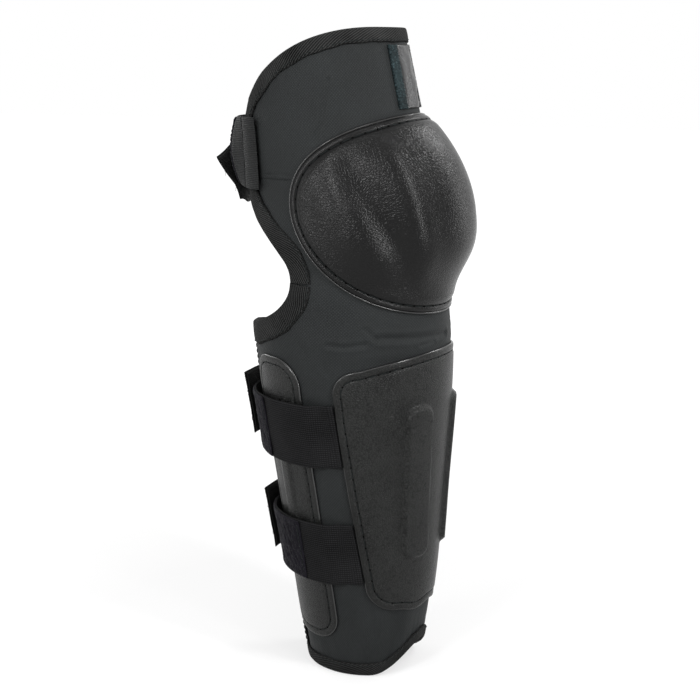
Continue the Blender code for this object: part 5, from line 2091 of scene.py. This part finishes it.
KNEE_BEND = Bend(Body.SHIN, Body.KNEE, (0.0, -0.1060, 0.2431), (0.0, -0.1157, 0.2652))
WING_BENDS = {
    Body.LEFT_WING: Bend(Body.SHIN, Body.LEFT_WING, (0.0, -0.1242, 0.0985), (0.0, -0.1085, 0.0861)),
    Body.RIGHT_WING: Bend(Body.SHIN, Body.RIGHT_WING, (0.0, -0.1242, 0.0985), (0.0, -0.1085, 0.0861)),
}


def root_bend(first: Body, second: Body, run: StrapRun, reach: float = 0.015) -> Bend:
    """Bend at a right-hand strap's root.

    Args:
        first: body that the strap is sewn to.
        second: body of the strap.
        run: the strap's path.
        reach: length over which it bends.

    Returns:
        The bend.
    """
    angle = np.array([run.first, run.first + float(FORM.degrees(reach, run.first, run.middle))])
    ends = FORM.points(*run.place(angle, np.zeros(2))) * (Side.RIGHT.value, 1, 1)
    return Bend(first, second, tuple(ends[0]), tuple(ends[1]))


@dataclass
class PaddedSleeve:
    """The six pads of the sleeve."""

    cap: KneeCap
    shin_plate: ShinPlate
    calf_plates: tuple[CalfPlate, CalfPlate]
    patch: FrontPatch = field(default_factory=FrontPatch)

    def strap_zone(self, angle: Array, height: Array) -> Array:
        """Distance inside the bands of cover under the calf straps."""
        return np.maximum(0.0255 - np.abs(height - 0.2085), 0.0255 - np.abs(height - 0.1100))

    def thigh_zone(self, angle: Array, height: Array) -> Array:
        """Distance inside what is sewn on the thigh."""
        strap = np.minimum(np.radians(np.abs(angle) - 120.0) * 0.07, 0.0275 - np.abs(height - 0.4245))
        beside = np.radians(self.patch.half_angle - np.abs(angle)) * 0.065
        patch = np.minimum(beside, np.minimum(height - self.patch.bottom, self.patch.top - height))
        return np.maximum(strap, patch)

    def panels(self) -> list[PadPanel]:
        """The pads with their creases.

        Returns:
            Pads from the thigh down.
        """
        seam, lapped, flush, bound = Border.SEAM, Border.LAPPED, Border.FLUSH, Border.BOUND
        thigh_creases = (
            Crease(((63, 0.4815), (66, 0.470), (70.8, 0.450), (78, 0.435)), 0.0009, 0.0013),
            Crease(((-40, 0.478), (-52, 0.462), (-60, 0.455)), 0.0007, 0.0014),
        )
        flex_creases = (
            Crease(((79.2, 0.2815), (69.8, 0.2805), (57.8, 0.283)), 0.0008, 0.0018),
            Crease(((57.2, 0.2945), (50.8, 0.2855)), 0.0006, 0.0018),
            Crease(((49.8, 0.2875), (23.2, 0.2855), (-2.5, 0.284)), 0.0012, 0.0024),
            Crease(((23.5, 0.2795), (11.2, 0.2805)), 0.0007, 0.0016),
            Crease(((95, 0.2565), (81.5, 0.2545)), 0.0005, 0.0012),
            Crease(((102, 0.287), (102.8, 0.279)), 0.0004, 0.0014),
            Crease(((-30, 0.286), (-52, 0.283), (-76, 0.287)), 0.0013, 0.0015),
        )
        hem_folds = tuple(Crease(((angle, 0.016), (angle + 1, 0.056)), 0.0008, 0.0050) for angle in (38, 63, -45, -20))
        wing_folds = tuple(Crease(((angle, 0.014), (angle + 1, 0.034)), 0.0006, 0.0045) for angle in (88, 101, 146))

        def group(label: str) -> tuple[str, ...]:
            """CAD nodes of one pad."""
            return label + "_cover", label + "_foam", label + "_lining"

        panels = [
            PadPanel("thigh_pad", group("thigh"), Body.KNEE, thigh_patch(), (240, 84), (bound, bound, lapped, bound),
                     (self.thigh_zone, self.cap.covers), thigh_creases, seed=2),
            PadPanel("knee_pad", group("knee"), Body.KNEE, knee_patch(), (120, 40), (bound, bound, flush, seam),
                     (self.cap.covers,), seed=3),
            PadPanel("flex_pad", group("flex"), Body.SHIN, flex_patch(), (240, 54), (bound, bound, flush, flush),
                     (self.shin_plate.covers,), flex_creases, seed=4),
            PadPanel("shin_pad", group("shin"), Body.SHIN, shin_patch(), (90, 108), (flush, flush, bound, flush),
                     (self.shin_plate.covers,), hem_folds, seed=5),
        ]
        for plate in self.calf_plates:
            zones = (plate.covers, self.strap_zone, self.shin_plate.covers)
            panels.append(PadPanel(plate.label + "_pad", group(plate.label), plate.body, wing_patch(), (54, 104),
                                   (bound, flush, bound, flush), zones, wing_folds, plate.side, seed=6))
        return panels

    def build(self) -> list[bpy.types.Object]:
        """Make the pads.

        Returns:
            The pads.
        """
        made = []
        for panel in self.panels():
            pad = panel.build()
            if panel.name == "flex_pad":
                KNEE_BEND.apply(pad)
            elif panel.body in WING_BENDS:
                WING_BENDS[panel.body].apply(pad)
            else:
                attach(pad, panel.body.value)
            made.append(pad)
        return made


@dataclass
class FoldStrip:
    """Strip of cover fabric sewn in along a fold line, which hinges a calf wing on the shin pad."""

    side: Side
    body: Body
    reach: tuple[float, float] = (-0.0050, 0.0065)
    heights: tuple[float, float] = (0.0012, 0.2500)
    depth: float = 0.0016
    thickness: float = 0.0006
    across: tuple[float, float, float] = (-0.424, 0.8955, -0.136)
    bend: tuple[float, float] = (-0.0040, 0.0050)

    def build(self) -> list[bpy.types.Object]:
        """Make the strip along the fold line and bake its transform; it is not bent from the shin pad to the wing.

        Returns:
            The strip.
        """
        rows = lerp(self.heights[0], self.heights[1], spread(80))[None, :]
        angle, height = SLEEVE.fold(rows)
        step = lerp(self.reach[0], self.reach[1], spread(16))[:, None]
        angle = angle + FORM.degrees(step, angle, height)
        height = np.broadcast_to(height, angle.shape)
        surface = Surface()
        surface.shell(FORM.points(angle, height, -self.depth),
                      FORM.points(angle, height, -self.depth - self.thickness), FORM.flat(angle, height))
        strip = surface.piece(self.side.name.lower() + "_fold_strip", (NYLON,), self.side)
        middle = FORM.points(*SLEEVE.fold(np.array([sum(self.heights) / 2])))[0]
        ends = [(middle + np.array(self.across) * share) * (self.side.value, 1, 1) for share in self.bend]
        Bend(Body.SHIN, self.body, tuple(ends[0]), tuple(ends[1])).apply(strip)
        return [strip]


@dataclass
class EdgeTapes:
    """All binding tapes of the sleeve."""

    mitre: float = 0.0125
    tape_width: float = 0.0115
    notch_extra: float = 0.0070
    gap: float = 0.00005

    def thigh(self) -> BindingTape:
        """Tape from the left notch over the thigh's top to the right notch."""
        corner = float(SLEEVE.top_edge(np.array(SLEEVE.thigh_edge))[1])
        left = EdgePath.on(SLEEVE.upper_notch, SLEEVE.knee_side + self.gap, SLEEVE.notch_upper)
        left = left.extended(EdgePath.on(SLEEVE.upper_notch, SLEEVE.notch_upper, corner))
        top = EdgePath.on(SLEEVE.top_edge, SLEEVE.thigh_edge, -SLEEVE.thigh_edge)
        path = left.joined(top, self.mitre).joined(left.mirrored(), self.mitre)
        wider = self.notch_extra * (1 - ease((path.height - 0.400) / 0.030))
        return BindingTape("thigh_tape", "thigh_binding", Body.KNEE, path, extra=wider)

    def wing(self, label: str, body: Body, side: Side) -> list[BindingTape]:
        """Tapes of one wing.

        Args:
            label: start of the CAD nodes' names.
            body: body of the wing.
            side: side of the leg.

        Returns:
            Top, back and hem tape.
        """
        corner_height = SLEEVE.wing_top(np.array(SLEEVE.wing_corner))[1]
        corner = SLEEVE.wing_corner + float(FORM.degrees(self.gap, SLEEVE.wing_corner, corner_height))
        fold = float(SLEEVE.fold(np.array(0.0))[0])
        start = fold + float(FORM.degrees(self.gap, fold, 0.0))
        inset = self.tape_width + 0.0006
        runs = (
            ("top", EdgePath.on(SLEEVE.wing_top, SLEEVE.wing_edge, corner)),
            ("back", EdgePath.on(SLEEVE.wing_rear, inset, SLEEVE.wing_back - inset - self.notch_extra)),
            ("hem", EdgePath.on(SLEEVE.hem, start, SLEEVE.wing_edge)),
        )
        return [BindingTape(f"{label}_{place}_tape", f"{label}_{place}_binding", body, path, side, place == "hem", 7 + k,
                            extra=self.notch_extra * (place == "top"))
                for k, (place, path) in enumerate(runs)]

    def build(self) -> list[bpy.types.Object]:
        """Make every tape and ride it on its body, or bake its transform where a bend is given.

        Returns:
            The tapes.
        """
        corner = float(SLEEVE.wing_top(np.array(SLEEVE.wing_corner))[1])
        fold = float(SLEEVE.fold(np.array(0.0))[0])
        end = fold - float(FORM.degrees(self.gap, fold, 0.0))
        tapes = [self.thigh()]
        notch = EdgePath.on(SLEEVE.lower_notch, corner + self.gap, SLEEVE.knee_side - self.gap)
        for side, label in ((Side.LEFT, "left_notch"), (Side.RIGHT, "right_notch")):
            tapes.append(BindingTape(label + "_tape", label + "_binding", Body.SHIN, notch, side, extra=self.notch_extra))
        tapes += self.wing("left_calf", Body.LEFT_WING, Side.LEFT)
        tapes += self.wing("right_calf", Body.RIGHT_WING, Side.RIGHT)
        hem = EdgePath.on(SLEEVE.hem, -end, end)
        tapes.append(BindingTape("shin_hem_tape", "shin_hem_binding", Body.SHIN, hem, hem=True))
        made = []
        for tape in tapes:
            piece = tape.build()
            if "notch" in tape.name:
                KNEE_BEND.apply(piece)
            elif tape.name.endswith("top_tape"):
                WING_BENDS[tape.body].apply(piece)
            else:
                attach(piece, tape.body.value)
            made.append(piece)
        return made


@dataclass
class StrapSet:
    """Elastic straps with their loop and hook patches."""

    plate: ShinPlate
    loop_thickness: float = 0.0015
    hook_thickness: float = 0.0010
    strap_thickness: float = 0.0018
    layer_gap: float = 0.0003
    patch_margin: float = 0.001

    def pair(self, label: str, left: StrapRun, right: StrapRun, loop_start: float, bodies: tuple[Body, Body, Body]) -> list[bpy.types.Object]:
        """Loop strap and pile on the left, hook strap and hooks on the right.

        Args:
            label: start of the CAD nodes' names.
            left: path of the loop strap.
            right: path of the hook strap.
            loop_start: angle at which the pile starts.
            bodies: body of the loop strap, and the two given to the hook strap's bend, which only bakes its transform.

        Returns:
            The pieces.
        """
        loop_body, root, hook_body = bodies
        open_ends = (True, False)
        webbing = CORDED if label == "thigh" else ELASTIC
        loop = FlatBand(label + "_loop_band", label + "_loop_strap", left, webbing, Slot.ELASTIC, Side.LEFT,
                        open_ends=open_ends).build()
        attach(loop, loop_body.value)
        pile = FlatBand(label + "_loop_pile", label + "_loop_patch", left, PILE, Slot.PILE, Side.LEFT,
                        self.strap_thickness, self.loop_thickness, self.patch_margin, loop_start,
                        rows=(0.0024, -0.0024), fuzz=0.00065, step=0.0011).build()
        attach(pile, loop_body.value)
        hook = FlatBand(label + "_hook_band", label + "_hook_strap", right, webbing, Slot.ELASTIC, Side.RIGHT,
                        rows=(-0.0030, -0.0240), open_ends=open_ends, seed=8).build()
        root_bend(root, hook_body, right).apply(hook)
        hooks = FlatBand(label + "_hook_rows", label + "_hook_patch", right, HOOKS, Slot.HOOKS, Side.RIGHT,
                         -self.layer_gap / 2 - self.hook_thickness, self.hook_thickness, self.patch_margin, HOOK_START,
                         seed=9, fuzz=0.0001).build()
        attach(hooks, hook_body.value)
        frayed = LooseThreads(label + "_loose_threads", right, hook_body).build()
        return [loop, pile, hook, hooks, frayed]

    def build(self) -> list[bpy.types.Object]:
        """Make every strap.

        Returns:
            The pieces.
        """
        made = []
        rows = (("upper", 0.2085, 127.0, Body.UPPER_STRAP), ("lower", 0.1100, 109.0, Body.LOWER_STRAP))
        for label, middle, loop_start, hook_body in rows:
            bodies = (Body.LEFT_WING, Body.RIGHT_WING, hook_body)
            made += self.pair(label, calf_run(middle, LOOP_END, False), calf_run(middle, HOOK_END, True), loop_start, bodies)
            for side in Side:
                root = FlatBand(f"{label}_{side.name.lower()}_band_root", None, root_run(middle, self.plate), ELASTIC,
                                Slot.ELASTIC, side, open_ends=(True, True)).build()
                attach(root, Body.SHIN.value)
                made.append(root)
        bodies = (Body.KNEE, Body.KNEE, Body.THIGH_STRAP)
        made += self.pair("thigh", thigh_run(LOOP_END, False), thigh_run(HOOK_END, True), 157.0, bodies)
        for kind, side in (("loop", Side.LEFT), ("hook", Side.RIGHT)):
            end = FlatBand(f"thigh_{kind}_band_end", f"thigh_{kind}_strap_end", thigh_end_run(), CORDED, Slot.ELASTIC,
                           side, crown=0.0014).build()
            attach(end, Body.KNEE.value)
            made.append(end)
        return made


@dataclass
class Studio:
    """Pale floor, soft lamps, white surround and the camera."""

    azimuth: float = -63.0
    elevation: float = 12.0
    distance: float = 1.150
    lens: float = 72.57
    target: tuple[float, float, float] = (0.0, -0.00847, 0.262)
    aside: float = -0.00815
    upwards: float = 0.0016
    floor_size: float = 16.0
    floor_paint: float = 0.35
    floor_glow: tuple[float, float] = (0.62, 1.0)
    floor_reach: tuple[float, float] = (0.25, 1.4)
    sky: tuple[float, float] = (0.12, 0.45)

    def floor(self) -> bpy.types.Object:
        """White floor that keeps the object's shadow.

        Returns:
            The floor.
        """
        bpy.ops.mesh.primitive_grid_add(x_subdivisions=4, y_subdivisions=4, size=self.floor_size, location=(0, 0, -0.0004))
        floor = bpy.context.object
        floor.name = "studio_floor"
        material = bpy.data.materials.new("pale_floor")
        material.use_nodes = True
        tree = material.node_tree
        tree.nodes.clear()
        paint = tree.nodes.new("ShaderNodeBsdfDiffuse")
        paint.inputs["Color"].default_value = (*(self.floor_paint,) * 3, 1)
        glow = tree.nodes.new("ShaderNodeEmission")
        place = tree.nodes.new("ShaderNodeTexCoord")
        away = tree.nodes.new("ShaderNodeVectorMath")
        away.operation = "LENGTH"
        tree.links.new(place.outputs["Object"], away.inputs[0])
        whiter = tree.nodes.new("ShaderNodeMapRange")
        tree.links.new(away.outputs["Value"], whiter.inputs["Value"])
        for name, value in zip(("From Min", "From Max", "To Min", "To Max"), (*self.floor_reach, *self.floor_glow)):
            whiter.inputs[name].default_value = value
        shown = tree.nodes.new("ShaderNodeMath")
        shown.operation = "MULTIPLY"
        tree.links.new(self.seen(tree, 1.0), shown.inputs[0])
        tree.links.new(whiter.outputs[0], shown.inputs[1])
        tree.links.new(shown.outputs[0], glow.inputs["Strength"])
        both = tree.nodes.new("ShaderNodeAddShader")
        tree.links.new(paint.outputs[0], both.inputs[0])
        tree.links.new(glow.outputs[0], both.inputs[1])
        out = tree.nodes.new("ShaderNodeOutputMaterial")
        tree.links.new(both.outputs[0], out.inputs["Surface"])
        floor.data.materials.append(material)
        return floor

    def seen(self, tree: bpy.types.NodeTree, strength: float) -> bpy.types.NodeSocket:
        """Strength for rays from the camera, gloss or glass, and none for the rest.

        Args:
            tree: node tree to add to.
            strength: value for those rays.

        Returns:
            The value's socket.
        """
        path = tree.nodes.new("ShaderNodeLightPath")
        value = path.outputs["Is Camera Ray"]
        for name in ("Is Glossy Ray", "Is Transmission Ray"):
            higher = tree.nodes.new("ShaderNodeMath")
            higher.operation = "MAXIMUM"
            tree.links.new(value, higher.inputs[0])
            tree.links.new(path.outputs[name], higher.inputs[1])
            value = higher.outputs[0]
        scaled = tree.nodes.new("ShaderNodeMapRange")
        tree.links.new(value, scaled.inputs["Value"])
        scaled.inputs["To Max"].default_value = strength
        return scaled.outputs[0]

    def surround(self) -> None:
        """White surround whose light on the guard grows from the horizon upwards."""
        world = bpy.data.worlds.new("surround")
        world.use_nodes = True
        bpy.context.scene.world = world
        tree = world.node_tree
        place = tree.nodes.new("ShaderNodeTexCoord")
        parts = tree.nodes.new("ShaderNodeSeparateXYZ")
        tree.links.new(place.outputs["Generated"], parts.inputs[0])
        sky = tree.nodes.new("ShaderNodeMapRange")
        tree.links.new(parts.outputs["Z"], sky.inputs["Value"])
        sky.inputs["To Min"].default_value, sky.inputs["To Max"].default_value = self.sky
        higher = tree.nodes.new("ShaderNodeMath")
        higher.operation = "MAXIMUM"
        tree.links.new(sky.outputs[0], higher.inputs[0])
        tree.links.new(self.seen(tree, 1.0), higher.inputs[1])
        backdrop = tree.nodes["Background"]
        backdrop.inputs["Color"].default_value = (1, 1, 1, 1)
        tree.links.new(higher.outputs[0], backdrop.inputs["Strength"])

    def lamp(self, name: str, azimuth: float, elevation: float, distance: float, size: tuple[float, float], watts: float) -> None:
        """Soft box that faces the guard.

        Args:
            name: name of the lamp.
            azimuth: its direction, as for the camera.
            elevation: its height in degrees.
            distance: its distance from the target.
            size: width and height of its face.
            watts: its power.
        """
        light = bpy.data.lights.new(name, "AREA")
        light.shape = "RECTANGLE"
        light.size, light.size_y = size
        light.energy = watts
        lamp = bpy.data.objects.new(name, light)
        bpy.context.scene.collection.objects.link(lamp)
        back = self.direction(azimuth, elevation)
        lamp.location = Vector(self.target) + back * distance
        lamp.rotation_euler = (-back).to_track_quat("-Z", "Y").to_euler()

    def direction(self, azimuth: float, elevation: float) -> Vector:
        """Direction from the target towards a place round it."""
        a, e = math.radians(azimuth), math.radians(elevation)
        return Vector((math.sin(a) * math.cos(e), -math.cos(a) * math.cos(e), math.sin(e)))

    def camera(self) -> None:
        """Camera at the photograph's viewing angle."""
        lens = bpy.data.cameras.new("camera")
        lens.lens = self.lens
        lens.sensor_width = 36.0
        camera = bpy.data.objects.new("camera", lens)
        bpy.context.scene.collection.objects.link(camera)
        back = self.direction(self.azimuth, self.elevation)
        turn = (-back).to_track_quat("-Z", "Y")
        offset = turn @ Vector((self.aside, self.upwards, 0.0))
        camera.location = Vector(self.target) + back * self.distance + offset
        camera.rotation_euler = turn.to_euler()
        bpy.context.scene.camera = camera

    def build(self) -> None:
        """Set up floor, surround, lamps and camera."""
        bpy.context.scene.view_settings.view_transform = "Standard"
        self.surround()
        self.floor()
        self.lamp("front_strip", -17, 38, 1.25, (0.13, 0.70), 9.0)
        self.lamp("front_low_strip", -26, 4, 1.20, (0.12, 0.40), 4.0)
        self.lamp("left_softbox", -92, 30, 1.20, (0.28, 0.36), 6.0)
        self.lamp("left_strip", -122, 12, 1.20, (0.20, 0.48), 4.2)
        self.lamp("right_strip", 48, 14, 1.25, (0.14, 0.70), 2.2)
        self.lamp("back_softbox", 58, 42, 1.20, (0.24, 0.26), 3.6)
        self.lamp("top_softbox", -75, 75, 1.20, (0.50, 0.40), 1.5)
        self.lamp("rear_softbox", 160, 28, 1.30, (0.60, 0.60), 4.0)
        self.camera()


def main() -> None:
    """Dress the guard, set up the studio and report each piece."""
    logging.basicConfig(level=logging.INFO, format="%(name)s: %(message)s")
    cap, shin_plate = KneeCap(), ShinPlate()
    calf_plates = (CalfPlate(Side.LEFT, Body.LEFT_WING, "left_calf"), CalfPlate(Side.RIGHT, Body.RIGHT_WING, "right_calf"))
    sleeve = PaddedSleeve(cap, shin_plate, calf_plates)
    strips = [FoldStrip(plate.side, plate.body) for plate in calf_plates]
    for part in (sleeve, *strips, cap, shin_plate, *calf_plates, EdgeTapes(), StrapSet(shin_plate), sleeve.patch):
        for piece in part.build():
            LOG.info("%s: %d faces", piece.name, len(piece.data.polygons))
    Studio().build()


if __name__ == "__main__":
    main()
